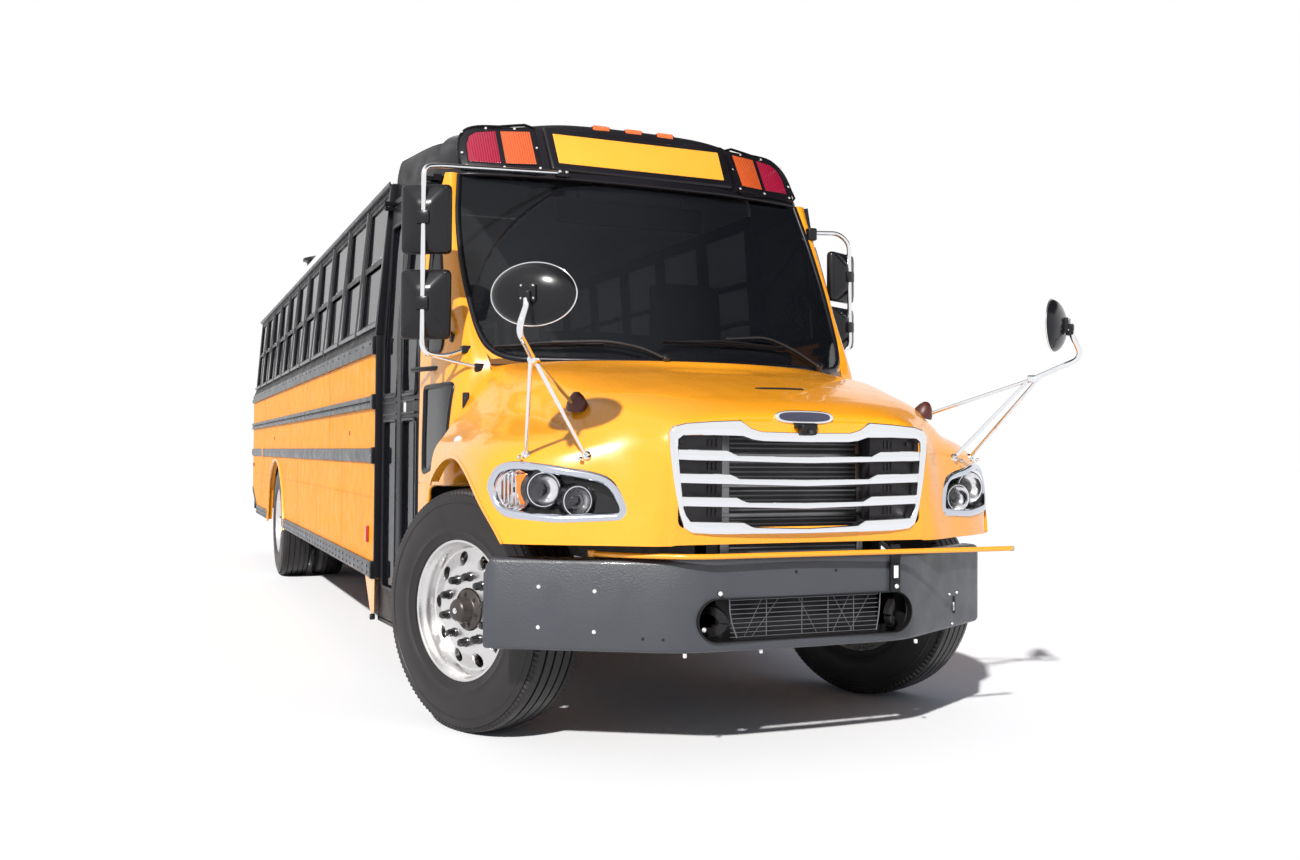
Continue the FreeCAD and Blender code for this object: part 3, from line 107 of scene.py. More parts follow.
world = bpy.data.worlds.new("studio_walls")
scene.world = world
world.use_nodes = True
walls = world.node_tree
wall_glow = fed(walls, walls.nodes["Background"], {"Color": (0.24, 0.25, 0.28, 1)})
seen_white = added(walls, "Background", {"Color": (1, 1, 1, 1)})
ray = added(walls, "LightPath").outputs
mirrored_ray = added(walls, "Math", {0: ray["Is Glossy Ray"], 1: ray["Is Transmission Ray"]}, operation="ADD")
straight = added(walls, "Math", {0: ray["Is Camera Ray"], 1: mirrored_ray.outputs[0]}, operation="ADD", use_clamp=True)
wall_mix = added(walls, "MixShader", {0: straight.outputs[0], 1: wall_glow.outputs[0], 2: seen_white.outputs[0]})
fed(walls, walls.nodes["World Output"], {"Surface": wall_mix.outputs[0]})

sun = bpy.data.objects.new("high_lamp", bpy.data.lights.new("high_lamp", "SUN"))
scene.collection.objects.link(sun)
sun.data.energy, sun.data.angle, sun.data.color = 4.6, 0.03, (1.0, 0.97, 0.93)
sun.rotation_euler = Vector((0.85, 1.05, -1.0)).to_track_quat("-Z", "Y").to_euler()

floor_paint, tree, shader = blank_skin("studio_floor_paint")
fed(tree, shader, {"Base Color": (0.93, 0.95, 0.98, 1), "Roughness": 0.9, "Specular IOR Level": 0.0})
staged_plane("studio_floor", floor_paint, 160)

card_paint, tree, shader = blank_skin("grey_card_cloth")
card_split = added(tree, "SeparateXYZ", {0: added(tree, "TexCoord").outputs["Object"]})
card_fade = added(tree, "MapRange", {"From Min": -12.5, "From Max": -3.5, "To Min": 0.55, "To Max": 0.012,
                                     "Value": card_split.outputs["X"]})
fed(tree, shader, {"Base Color": (0.0, 0.0, 0.0, 1), "Emission Strength": 1.0, "Roughness": 1.0,
                   "Specular IOR Level": 0.0, "Emission Color": card_fade.outputs["Result"]})
card = staged_plane("overhead_card", card_paint, 25, (9.5, -1, 11))
card.visible_camera = card.visible_diffuse = card.visible_shadow = card.visible_transmission = False

# ------------ cabin shell
# The side walls, roof and rear wall are steel panels riveted to hoops. They are painted yellow below the belt
# rail and satin black round the windows, with a white roof.
BLACK = (0.012, 0.012, 0.014)
BELT_Z = 1.842


def coating(name, colour, roughness, metal=0.0, coat=0.0, drift=0.2, grain=0.05, grain_scale=420.0, depth=0.0006,
            shine=0.5):
    """A skin whose colour drifts a little from place to place, with uneven gloss and a fine grain."""
    skin, tree, shader = blank_skin(name)
    place = added(tree, "TexCoord").outputs["Object"]
    cloud, smear, peel = [
        added(tree, "TexNoise", {"Scale": scale, "Detail": detail, "Vector": place}).outputs["Fac"]
        for scale, detail in ((1.7, 5), (9.0, 8), (grain_scale, 3))]
    tint = added(tree, "ValToRGB", {"Fac": cloud}, name="tint")
    for stop, position, shade in zip(tint.color_ramp.elements, (0.32, 0.68), (1 - drift, 1 + drift)):
        stop.position, stop.color = position, (*(min(1.0, part * shade) for part in colour), 1)
    gloss = added(tree, "MapRange", {"From Min": 0.3, "From Max": 0.7, "To Min": roughness * 0.8,
                                     "To Max": roughness * 1.25, "Value": smear})
    bump = added(tree, "Bump", {"Strength": grain, "Distance": depth, "Height": peel}, name="bump")
    fed(tree, shader, {"Metallic": metal, "Specular IOR Level": shine, "Coat Weight": coat, "Coat Roughness": 0.04,
                       "Base Color": tint.outputs["Color"], "Roughness": gloss.outputs["Result"],
                       "Normal": bump.outputs["Normal"]})
    return skin


def painted(skin, *names):
    """Gives CAD pieces that are shown as they are their finish."""
    for name in names:
        bus[name].data.materials.clear()
        bus[name].data.materials.append(skin)


def above(skin, height, colour):
    """Changes a skin's colour over a height, along a masked paint line."""
    tree = skin.node_tree
    split = added(tree, "SeparateXYZ", {0: added(tree, "TexCoord").outputs["Object"]})
    over = added(tree, "Math", {0: split.outputs["Z"], 1: height}, operation="GREATER_THAN")
    mix = added(tree, "Mix", {0: over.outputs[0], 6: tree.nodes["tint"].outputs["Color"], 7: (*colour, 1)},
                data_type="RGBA")
    fed(tree, tree.nodes["Principled BSDF"], {"Base Color": mix.outputs[2]})
    return skin


yellow = coating("bus_yellow_enamel", (0.93, 0.36, 0.012), 0.26, coat=0.55, drift=0.03, grain=0.02)
black = coating("satin_black_enamel", (0.006, 0.006, 0.008), 0.35, drift=0.25, shine=0.14)
white = coating("roof_white_enamel", (0.8, 0.81, 0.82), 0.35, coat=0.3, drift=0.03, grain=0.1, grain_scale=90.0)
shell_paint = above(coating("side_panel_paint", (0.93, 0.325, 0.012), 0.48, drift=0.05, grain=0.1, grain_scale=25.0,
                            depth=0.0008, shine=0.2), BELT_Z, BLACK)
painted(shell_paint, "side_wall_left", "side_wall_right", "rear_wall", "rear_door")
painted(white, "roof", "roof_hatch_front", "roof_hatch_rear")
painted(black, "window_frames", "rear_bumper", "door_frame", "door_leaf_front", "door_leaf_rear", "stop_arm_base")


def only(piece):
    """Selects one piece alone and makes it the active one."""
    if bpy.context.object and bpy.context.object.mode != "OBJECT":
        bpy.ops.object.mode_set(mode="OBJECT")
    bpy.ops.object.select_all(action="DESELECT")
    if piece:
        piece.select_set(True)
        bpy.context.view_layer.objects.active = piece


def changed(piece, kind, **settings):
    """Adds a modifier to a piece and applies it."""
    only(piece)
    change = piece.modifiers.new(kind.lower(), kind)
    for setting, value in settings.items():
        setattr(change, setting, value)
    bpy.ops.object.modifier_apply(modifier=change.name)
    return piece


def opened(piece):
    """Opens a piece in edit mode with all of it selected."""
    only(piece)
    bpy.ops.object.mode_set(mode="EDIT")
    bpy.ops.mesh.select_all(action="SELECT")


def tidied(piece):
    """Merges doubled points and turns every face outwards."""
    opened(piece)
    bpy.ops.mesh.remove_doubles(threshold=0.00005)
    bpy.ops.mesh.normals_make_consistent(inside=False)
    bpy.ops.object.mode_set(mode="OBJECT")
    return piece


def settled(piece):
    """Puts a piece's place, turn and size into its mesh."""
    only(piece)
    bpy.ops.object.transform_apply(location=True, rotation=True, scale=True)
    return piece


def rounded(piece, width, steps=2, **limit):
    """Rounds a piece's sharp edges."""
    return changed(piece, "BEVEL", width=width, segments=steps, limit_method="ANGLE", **limit) if width else piece


def block(low, high, round_edge=0.003, steps=2):
    """A box between two corners with its edges rounded."""
    only(None)
    middle = [(a + b) / 2 for a, b in zip(low, high)]
    bpy.ops.mesh.primitive_cube_add(size=1, location=middle)
    piece = bpy.context.object
    piece.scale = [b - a for a, b in zip(low, high)]
    return rounded(settled(piece), round_edge, steps)


def bar(start, end, radius, sides=20, round_edge=0.0):
    """A round bar between two points."""
    start, end = Vector(start), Vector(end)
    only(None)
    bpy.ops.mesh.primitive_cone_add(vertices=sides, radius1=radius, radius2=radius, depth=(end - start).length,
                                    location=(start + end) / 2)
    piece = bpy.context.object
    piece.rotation_euler = (end - start).to_track_quat("Z", "Y").to_euler()
    return rounded(settled(piece), round_edge)


def plate(outline, travel, round_edge=0.0, steps=2):
    """A flat outline pushed along a vector, with its edges rounded."""
    only(None)
    bpy.ops.mesh.primitive_circle_add(vertices=len(outline), fill_type="NGON", location=(0, 0, 0))
    piece = bpy.context.object
    for vertex, place in zip(piece.data.vertices, outline):
        vertex.co = place
    opened(piece)
    bpy.ops.mesh.extrude_region_move(TRANSFORM_OT_translate={"value": travel})
    bpy.ops.mesh.select_all(action="SELECT")
    bpy.ops.mesh.normals_make_consistent(inside=False)
    bpy.ops.object.mode_set(mode="OBJECT")
    return rounded(piece, round_edge, steps)


def swept(path, section, closed=False, flat=None):
    """A section carried along a path: bent tubes, beads and seals. The section is (across, out) pairs; flat is
    the direction that 'out' leans towards, or None for a round tube's natural turn."""
    points = [Vector(point) for point in path]
    count, ring = len(points), len(section)
    places, out = [], None
    for i, point in enumerate(points):
        before = points[i - 1] if i or closed else point
        after = points[(i + 1) % count] if i < count - 1 or closed else point
        run = (after - before).normalized()
        lean = Vector(flat) if flat else out or Vector((0.31, 0.27, 0.91))
        side = run.cross(lean).normalized()
        out = side.cross(run).normalized()
        turn = 1.0
        if (0 < i < count - 1 or closed) and (point - before).length and (after - point).length:
            turn = 1 / max(0.35, math.cos((point - before).angle(after - point) / 2))
        places += [point + side * (a * turn) + out * b for a, b in section]
    faces = []
    for i in range(count if closed else count - 1):
        for j in range(ring):
            near, far, following = i * ring, (i + 1) % count * ring, (j + 1) % ring
            faces.append((near + j, near + following, far + following, far + j))
    if not closed:
        faces += [tuple(range(ring)), tuple((count - 1) * ring + j for j in reversed(range(ring)))]
    mesh = bpy.data.meshes.new("swept")
    mesh.from_pydata([tuple(place) for place in places], [], faces)
    piece = bpy.data.objects.new("swept", mesh)
    scene.collection.objects.link(piece)
    return tidied(piece)


def rounded_path(corners, radius, steps=6):
    """A path through corners with each corner turned into an arc."""
    points = [Vector(corner) for corner in corners]
    path = [points[0]]
    for before, corner, after in zip(points, points[1:], points[2:]):
        back, ahead = (before - corner), (after - corner)
        reach = min(radius, back.length * 0.49, ahead.length * 0.49)
        start, end = corner + back.normalized() * reach, corner + ahead.normalized() * reach
        path += [start.lerp(corner, t).lerp(corner.lerp(end, t), t) for t in [i / steps for i in range(steps + 1)]]
    return path + [points[-1]]


def bead(foot, top, low, high, crown=None):
    """A strip's section: half its width at its foot and at its top, the heights of both, and of its crown."""
    return [(-foot, low), (-top, high)] + [(0.0, crown)] * (crown is not None) + [(top, high), (foot, low)]


def turns(count, start=0.0):
    """Angles that share out a full circle."""
    return [math.tau * (i + start) / count for i in range(count)]


def ring_of(radius, sides=14):
    """A round section."""
    return [(radius * math.cos(a), radius * math.sin(a)) for a in turns(sides)]


def pipe(corners, radius, bend=0.05, sides=14, steps=6):
    """A bent round tube through corners."""
    return swept(rounded_path(corners, bend, steps), ring_of(radius, sides))


AXIS = 0.0001  # a lathe profile's radius where it closes on the axis


def lathed(profile, start=(0, 0, 0), along=(1, 0, 0), steps=48):
    """A closed (distance along, radius) profile spun about an axis from a start point."""
    only(None)
    bpy.ops.mesh.primitive_circle_add(vertices=len(profile), fill_type="NOTHING", location=(0, 0, 0))
    piece = bpy.context.object
    for vertex, (distance, radius) in zip(piece.data.vertices, profile):
        vertex.co = (radius, 0, distance)
    opened(piece)
    bpy.ops.mesh.spin(steps=steps, angle=math.tau, center=(0, 0, 0), axis=(0, 0, 1))
    bpy.ops.object.mode_set(mode="OBJECT")
    tidied(piece)
    piece.matrix_world = Matrix.Translation(Vector(start)) @ Vector(along).to_track_quat("Z", "Y").to_matrix().to_4x4()
    return settled(piece)


def cut(piece, *tools):
    """Cuts other shapes out of a piece and removes them."""
    for tool in tools:
        changed(piece, "BOOLEAN", operation="DIFFERENCE", object=tool, solver="EXACT")
        bpy.data.objects.remove(tool, do_unlink=True)
    return piece


def pane_from(skin, tool, inset):
    """Cuts an opening in a left-hand skin and gives back what filled it, set in by an inset."""
    pane = copied(skin, Matrix.Translation((-inset, 0, 0)))
    changed(pane, "BOOLEAN", operation="INTERSECT", object=tool, solver="EXACT")
    cut(skin, tool)
    return pane


def mirrored(piece):
    """A piece with its mirror image on the other side of the bus."""
    return changed(piece, "MIRROR", use_axis=(True, False, False), use_mirror_merge=False)


def copied(piece, matrix):
    """A copy of a piece with its own mesh, carried to another place."""
    twin = bpy.data.objects.new(piece.name, piece.data.copy())
    scene.collection.objects.link(twin)
    twin.data.transform(matrix)
    if matrix.determinant() < 0:
        twin.data.flip_normals()
    return twin


def repeated(original, places):
    """One piece made of copies of a small original standing at each place."""
    copies = [copied(original, Matrix.Translation(Vector(place))) for place in places]
    bpy.data.objects.remove(original, do_unlink=True)
    return together(copies)


def together(pieces):
    """Several pieces joined as one."""
    only(pieces[0])
    for piece in pieces:
        piece.select_set(True)
    bpy.ops.object.join()
    return bpy.context.object


def skinned(piece, skin):
    """Gives a piece one finish."""
    piece.data.materials.clear()
    piece.data.materials.append(skin)
    return piece


def finished(piece, name, body, slot, skin=None, stands_for=(), smooth=40):
    """Names a piece, or several joined, gives it its finish, moves it to its place in the frame and hands it over."""
    if isinstance(piece, list):
        piece = together(piece)
    if skin:
        skinned(piece, skin)
    only(piece)
    bpy.ops.object.shade_smooth_by_angle(angle=math.radians(smooth))
    piece.data.transform(Matrix.Translation((0, datum_y, 0)))
    piece.name = piece.data.name = name
    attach(piece, body)
    if stands_for:
        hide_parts(*stands_for)
    return piece


def both_sides(piece, *details, **more):
    """Hands over a piece, or several joined, together with the mirror image."""
    return finished(mirrored(together(piece) if isinstance(piece, list) else piece), *details, **more)


# ------------ hood
# One moulded fibreglass piece with both fenders, 6 mm thick and painted yellow. It tilts forward on two hinges
# under its nose and is cut out for the wheels, the grille and the lamps.
HOOD_STATIONS = [  # y, then x, z from the crown out and down to the fender's lower edge
    (-0.907, (0, 1.338), (0.3, 1.336), (0.46, 1.318), (0.53, 1.27), (0.548, 1.21), (0.556, 1.15), (0.562, 1.08),
     (0.567, 0.98), (0.57, 0.858)),
    (-0.885, (0, 1.372), (0.32, 1.366), (0.49, 1.342), (0.575, 1.285), (0.6, 1.225), (0.612, 1.16), (0.62, 1.09),
     (0.63, 0.99), (0.655, 0.858)),
    (-0.8, (0, 1.415), (0.36, 1.406), (0.55, 1.374), (0.645, 1.315), (0.69, 1.255), (0.715, 1.195), (0.738, 1.12),
     (0.76, 1.02), (0.8, 0.858)),
    (-0.7, (0, 1.448), (0.4, 1.439), (0.63, 1.405), (0.74, 1.34), (0.81, 1.278), (0.87, 1.232), (0.92, 1.17),
     (0.955, 1.06), (0.985, 0.858)),
    (-0.6, (0, 1.478), (0.43, 1.469), (0.69, 1.434), (0.8, 1.364), (0.875, 1.298), (0.955, 1.258), (1.03, 1.2),
     (1.085, 1.09), (1.125, 0.858)),
    (-0.48, (0, 1.51), (0.45, 1.501), (0.72, 1.466), (0.835, 1.39), (0.91, 1.32), (1.0, 1.285), (1.1, 1.235),
     (1.175, 1.13), (1.205, 0.858)),
    (-0.3, (0, 1.553), (0.47, 1.545), (0.755, 1.51), (0.87, 1.43), (0.94, 1.36), (1.03, 1.318), (1.135, 1.262),
     (1.205, 1.16), (1.219, 0.858)),
    (-0.1, (0, 1.592), (0.49, 1.586), (0.8, 1.555), (0.915, 1.485), (0.98, 1.41), (1.05, 1.35), (1.14, 1.28),
     (1.205, 1.18), (1.219, 0.858)),
    (0.33, (0, 1.63), (0.5, 1.626), (0.86, 1.612), (0.955, 1.57), (1.02, 1.48), (1.07, 1.39), (1.14, 1.29), (1.2, 1.18),
     (1.215, 0.9))]
HOOD_REAR_Y = (-0.02, 0.06, 0.27, 0.345, 0.35, 0.35, 0.35, 0.35, 0.35)  # the rear edge follows the windscreen


def between(points, steps):
    """A smooth line through points, with a few steps between each two."""
    line = []
    ends = [points[0] * 2 - points[1]] + points + [points[-1] * 2 - points[-2]]
    for a, b, c, d in zip(ends, ends[1:], ends[2:], ends[3:]):
        for i in range(steps):
            t = i / steps
            line.append(0.5 * (2 * b + (c - a) * t + (2 * a - 5 * b + 4 * c - d) * t ** 2
                               + (3 * b - a - 3 * c + d) * t ** 3))
    return line + [points[-1]]


def surface(rows, across_steps, along_steps):
    """A smooth sheet through rows of points: a grid primitive whose points are moved on to it."""
    lines = [between([Vector(point) for point in row], across_steps) for row in rows]
    columns = [between(list(column), along_steps) for column in zip(*lines)]
    wide, long = len(columns), len(columns[0])
    only(None)
    bpy.ops.mesh.primitive_grid_add(x_subdivisions=wide - 1, y_subdivisions=long - 1, size=1)
    sheet = bpy.context.object
    for number, vertex in enumerate(sheet.data.vertices):
        vertex.co = columns[number % wide][number // wide]
    return sheet


hood_rows = []
for station, *half in HOOD_STATIONS:
    ys = HOOD_REAR_Y if station > 0.3 else [station] * len(half)
    left = [(x, y, z) for (x, z), y in zip(half, ys)]
    hood_rows.append([(-x, y, z) for x, y, z in left[:0:-1]] + left)
hood = surface(hood_rows, 5, 8)
opened(hood)
bpy.ops.mesh.select_mode(type="EDGE")
bpy.ops.mesh.select_all(action="DESELECT")
bpy.ops.object.mode_set(mode="OBJECT")
for edge in hood.data.edges:
    edge.select = all(abs(hood.data.vertices[i].co.y - HOOD_STATIONS[0][0]) < 0.0005 for i in edge.vertices)
bpy.ops.object.mode_set(mode="EDIT")
bpy.ops.mesh.extrude_region_move(TRANSFORM_OT_translate={"value": (0, -0.004, 0)})
bpy.ops.transform.resize(value=(0.97, 1, 0.985), center_override=(0, -0.911, 1.09))
bpy.ops.mesh.edge_face_add()
bpy.ops.object.mode_set(mode="OBJECT")
tidied(hood)
changed(hood, "SOLIDIFY", thickness=0.006, offset=-1)
LAMP_EDGE = [(-1.156, -0.532, 1.072), (-1.145, -0.534, 1.112), (-1.126, -0.546, 1.138), (-1.095, -0.57, 1.15),
             (-1.053, -0.608, 1.15),
             (-0.999, -0.657, 1.139), (-0.924, -0.708, 1.125), (-0.865, -0.738, 1.12), (-0.8, -0.771, 1.103),
             (-0.768, -0.79, 1.07),
             (-0.75, -0.805, 1.027), (-0.742, -0.814, 0.995), (-0.752, -0.811, 0.976), (-0.771, -0.801, 0.97),
             (-0.869, -0.752, 0.968),
             (-0.966, -0.702, 0.969), (-1.091, -0.615, 0.975), (-1.126, -0.578, 0.992), (-1.146, -0.552, 1.028)]


def round_loop(points, steps):
    """A smooth closed line through points."""
    points = [Vector(point) for point in points]
    line = between(points[-2:] + points + points[:3], steps)
    return line[2 * steps:-3 * steps]


lamp_edge = round_loop(LAMP_EDGE, 3)
lamp_lens = copied(hood, Matrix())
lamp_core = plate([(x, -1.0, z) for x, y, z in lamp_edge], (0, 0.8, 0))
changed(lamp_lens, "BOOLEAN", operation="INTERSECT", object=lamp_core, solver="EXACT")
cut(hood, copied(lamp_core, Matrix.Scale(-1, 4, (1, 0, 0))), lamp_core)
ARCH_Y, ARCH_Z, ARCH_RADIUS, FLANGE_RADIUS = -0.03, 0.55, 0.632, 0.64
for side in (-1, 1):
    cut(hood, bar((side * 0.6, ARCH_Y, ARCH_Z), (side * 1.4, ARCH_Y, ARCH_Z), ARCH_RADIUS, sides=96))
cut(hood, block((-0.545, -1.0, 0.925), (0.545, -0.8, 1.29), round_edge=0.03, steps=4))
# Rolled flange round each wheel arch, pressed from the same skin.
arch_lips = []
for side in (-1, 1):
    arc = []
    for turn in [math.radians(24 + 2.5 * i) for i in range(50)]:
        y, z = ARCH_Y - FLANGE_RADIUS * math.cos(turn), ARCH_Z + FLANGE_RADIUS * math.sin(turn)
        met, place, _, _ = hood.ray_cast((side * 1.5, y, z), (-side, 0, 0))
        if met and y < 0.34:
            arc.append(Vector((place.x, y, z)))
    arch_lips.append(swept(arc, [(-0.01, -0.035), (-0.002, -0.035), (0.006, 0.003), (-0.01, 0.004)], flat=(side, 0, 0)))
finished(hood, "hood_shell", "hood_body", "yellow_paint", yellow, ["hood"], smooth=45)
finished(arch_lips, "hood_arch_flanges", "hood_body", "yellow_paint", yellow, smooth=50)
shadow_black = coating("unlit_black_gap", (0.004, 0.004, 0.005), 0.7, grain=0.2)
vent = plate([(-0.055, -0.592, 1.4815), (-0.02, -0.583, 1.484), (0.1, -0.577, 1.4865), (0.178, -0.577, 1.4855),
              (0.183, -0.589, 1.4825),
              (0.06, -0.592, 1.4825), (-0.02, -0.598, 1.4805)], (0, 0, 0.004), round_edge=0.001)
finished(vent, "hood_vent_slot", "hood_body", "mirror_black", shadow_black)

# The badge over the grille is a pressed oval plate, left blank: dark enamel inside a chrome rim.
chrome = coating("bright_chrome", (0.84, 0.85, 0.87), 0.07, metal=1.0, drift=0.02, grain=0.02)
BADGE_Z = 1.353
badge_plan = [(math.copysign(0.131 * abs(math.cos(a)) ** 0.6, math.cos(a)),
               math.copysign(0.027 * abs(math.sin(a)) ** 0.75, math.sin(a))) for a in turns(40)]
badge_rim = plate([(x, -0.9, BADGE_Z + z) for x, z in badge_plan], (0, -0.016, 0), 0.004, 3)
badge_face = plate([(x * 0.88, -0.915, BADGE_Z + z * 0.72) for x, z in badge_plan], (0, -0.002, 0), 0.0008)
enamel = coating("badge_enamel", (0.012, 0.014, 0.05), 0.15, coat=1.0, drift=0.1, grain=0.02)
skinned(badge_rim, chrome)
skinned(badge_face, enamel)
badge = together([badge_rim, badge_face])
badge.data.transform(set_at((0, -0.9, BADGE_Z), -12, "X") @ Matrix.Translation((0, 0.903, -BADGE_Z)))
finished(badge, "blank_badge", "hood_body", "chrome")

# A small black camera hangs from the hood's front edge over the grille, on a short bracket.
eye = [block((-0.034, -0.955, 1.283), (0.034, -0.915, 1.327), 0.008, 3),
       block((-0.05, -0.93, 1.31), (0.05, -0.912, 1.33), 0.003),
       bar((0, -0.95, 1.298), (0, -0.963, 1.296), 0.0125, 24, 0.002)]
moulded = coating("moulded_black", (0.009, 0.009, 0.011), 0.33, grain=0.25, grain_scale=700.0, shine=0.28)
finished(eye, "nose_camera", "hood_body", "mirror_black", moulded)
lens_glass = coating("black_lens_glass", (0.01, 0.01, 0.015), 0.05, coat=1.0, grain=0.0)
finished(lathed([(0, AXIS), (0, 0.009), (0.002, 0.008), (0.0035, 0.004), (0.004, AXIS)], (0, -0.963, 1.296),
                (0, -1, 0.1), 24),
         "nose_camera_lens", "hood_body", "mirror_black", lens_glass)

# A clear marker lamp stands on each fender.
clear_lens = coating("clear_lens", (0.75, 0.76, 0.78), 0.12, coat=1.0, drift=0.05, grain=0.3, grain_scale=300.0)
for side, word in ((-1, "right"), (1, "left")):
    marker = lathed([(-0.008, AXIS), (-0.008, 0.022), (0.004, 0.021), (0.01, 0.013), (0.012, AXIS)], (0, 0, 0),
                    (0, 0, 1), 28)
    marker.data.transform(set_at((side * 1.164, 0.02, 1.262), side * 52, "Y") @ Matrix.Diagonal((0.85, 1.9, 1, 1)))
    finished(marker, "fender_marker_" + word, "hood_body", "headlamp", clear_lens)

# ------------ grille
# A chromed plastic frame clipped into the nose, wider at its top and dipped under the badge. Its three bars step
# down in the middle, and a black duct and the radiator's fins show behind them.
GRILLE_OUTER = [(0.0, 0.897), (0.4, 0.9), (0.488, 0.906), (0.52, 0.925), (0.54, 0.985), (0.562, 1.1), (0.578, 1.22),
                (0.58, 1.285),
                (0.56, 1.312), (0.515, 1.324), (0.4, 1.333), (0.29, 1.338), (0.245, 1.308), (0.2, 1.296), (0.0, 1.293)]
GRILLE_INNER = [(0.0, 0.918), (0.235, 0.926), (0.275, 0.946), (0.495, 0.952), (0.512, 0.975), (0.522, 1.0),
                (0.534, 1.1), (0.546, 1.22), (0.546, 1.262),
                (0.525, 1.276), (0.42, 1.278), (0.28, 1.276), (0.235, 1.262), (0.19, 1.257), (0.0, 1.255)]
BAR_LINES = [  # half outline of each bar: x, z round from the middle's top
    [(0, 1.199), (0.3, 1.201), (0.345, 1.222), (0.545, 1.224), (0.545, 1.184), (0, 1.172)],
    [(0, 1.109), (0.29, 1.112), (0.332, 1.131), (0.54, 1.134), (0.538, 1.096), (0, 1.082)],
    [(0, 1.019), (0.262, 1.022), (0.305, 1.042), (0.532, 1.046), (0.528, 1.008), (0, 0.994)]]


def grille_y(x):
    """The grille's bow: how far forward its face stands, falling back towards its sides."""
    return -0.936 + 0.022 * (abs(x) / 0.58) ** 2


def whole(half, y):
    """A half outline of (x, z) points with its mirror image, at a depth."""
    return [(x, y, z) for x, z in half] + [(-x, y, z) for x, z in half[-2:0:-1]]


def bowed(piece):
    """Cuts a plate across its width into strips and bends it to the grille's bow."""
    for number in range(1, 24):
        opened(piece)
        bpy.ops.mesh.bisect(plane_co=(-0.6 + 0.05 * number, 0, 0), plane_no=(1, 0, 0))
        bpy.ops.object.mode_set(mode="OBJECT")
    for vertex in piece.data.vertices:
        vertex.co.y += grille_y(vertex.co.x)
    return piece


grille_frame = plate(whole(GRILLE_OUTER, 0), (0, 0.055, 0))
cut(grille_frame, plate(whole(GRILLE_INNER, -0.05), (0, 0.2, 0)))
grille_pieces = [bowed(rounded(grille_frame, 0.006, 3, angle_limit=math.radians(40)))]
grille_pieces += [bowed(plate(whole(line, 0.004), (0, 0.034, 0), 0.005, 3)) for line in BAR_LINES]
finished(grille_pieces, "grille_chrome", "hood_body", "chrome", chrome, ["grille"], smooth=30)

# The duct behind the bars: a black plastic tray on each side of the radiator and a strip over it, with rows of small
# ribs and two round studs on each side.
duct = [block((-0.56, -0.862, 0.9), (-0.335, -0.8, 1.31), 0.004),
        block((0.335, -0.862, 0.9), (0.56, -0.8, 1.31), 0.004),
        block((-0.4, -0.8, 1.285), (0.4, -0.66, 1.31), 0.004)]
ribs = []
for side in (-1, 1):
    for row in range(4):
        for number in range(3):
            x, z = side * 0.4 + number * 0.018, 0.965 + row * 0.09
            ribs.append(block((x, -0.868, z), (x + 0.005, -0.858, z + 0.03), 0.001, 1))
    for z in (0.945, 1.255):
        ribs.append(bar((side * 0.515, -0.862, z), (side * 0.515, -0.872, z), 0.009, 12, 0.001))
duct_skin = coating("duct_black_plastic", (0.016, 0.013, 0.016), 0.5, drift=0.3, grain=0.3)
finished(duct + ribs, "grille_duct", "hood_body", "mirror_black", duct_skin)

# ------------ headlamps
# Each lamp unit is a clear polycarbonate cover over a black housing with two round lights and an amber corner
# light in a ribbed bright bowl, framed by a chrome bezel that follows the fender.
lamp_line = [Vector(point) for point in lamp_edge]
out_from_fender = Vector((-0.55, -0.82, 0.12)).normalized()
inward = -out_from_fender
clear_cover = coating("clear_polycarbonate", (0.01, 0.01, 0.012), 0.02, drift=0.02, grain=0.0)
clear_cover.node_tree.nodes["Principled BSDF"].inputs["Alpha"].default_value = 0.05
both_sides(tidied(lamp_lens), "headlamp_covers", "hood_body", "headlamp", clear_cover)

bezel_line = [point + (point - Vector((-0.955, -0.69, 1.05))).normalized() * 0.013 for point in lamp_line]
bezel = swept(bezel_line, [(-0.016, -0.004), (-0.011, 0.005), (0, 0.01), (0.011, 0.006), (0.018, -0.004)], closed=True,
              flat=tuple(out_from_fender))
both_sides(bezel, "headlamp_bezels", "hood_body", "chrome",
           coating("bezel_chrome", (0.6, 0.63, 0.7), 0.1, metal=1.0, drift=0.03, grain=0.02), ["headlamps"], smooth=60)

lamp_back = 0.075
housing = swept(lamp_line, [(-0.002, 0.0), (0.003, 0.0), (0.003, -lamp_back), (-0.002, -lamp_back)], closed=True,
                flat=tuple(out_from_fender))
backing = plate([tuple(point + inward * (lamp_back - 0.004)) for point in lamp_line], tuple(inward * 0.006))
LIGHTS = [  # centre, then the radius of the bowl, and the place along and the radius of the lens
    ((-0.994, -0.655, 1.066), 0.066, -0.645, 0.036), ((-0.88, -0.722, 1.024), 0.057, -0.714, 0.032)]
masks = [lathed([(0.0, r), (0.0, r + 0.006), (0.05, r + 0.01), (0.05, r + 0.002)], centre, (0, 1, 0), 40)
         for centre, r, _, _ in LIGHTS]
lamp_black = coating("lamp_housing_black", (0.01, 0.01, 0.012), 0.18, grain=0.1)
both_sides([housing, backing] + masks, "headlamp_housings", "hood_body", "headlamp", lamp_black)

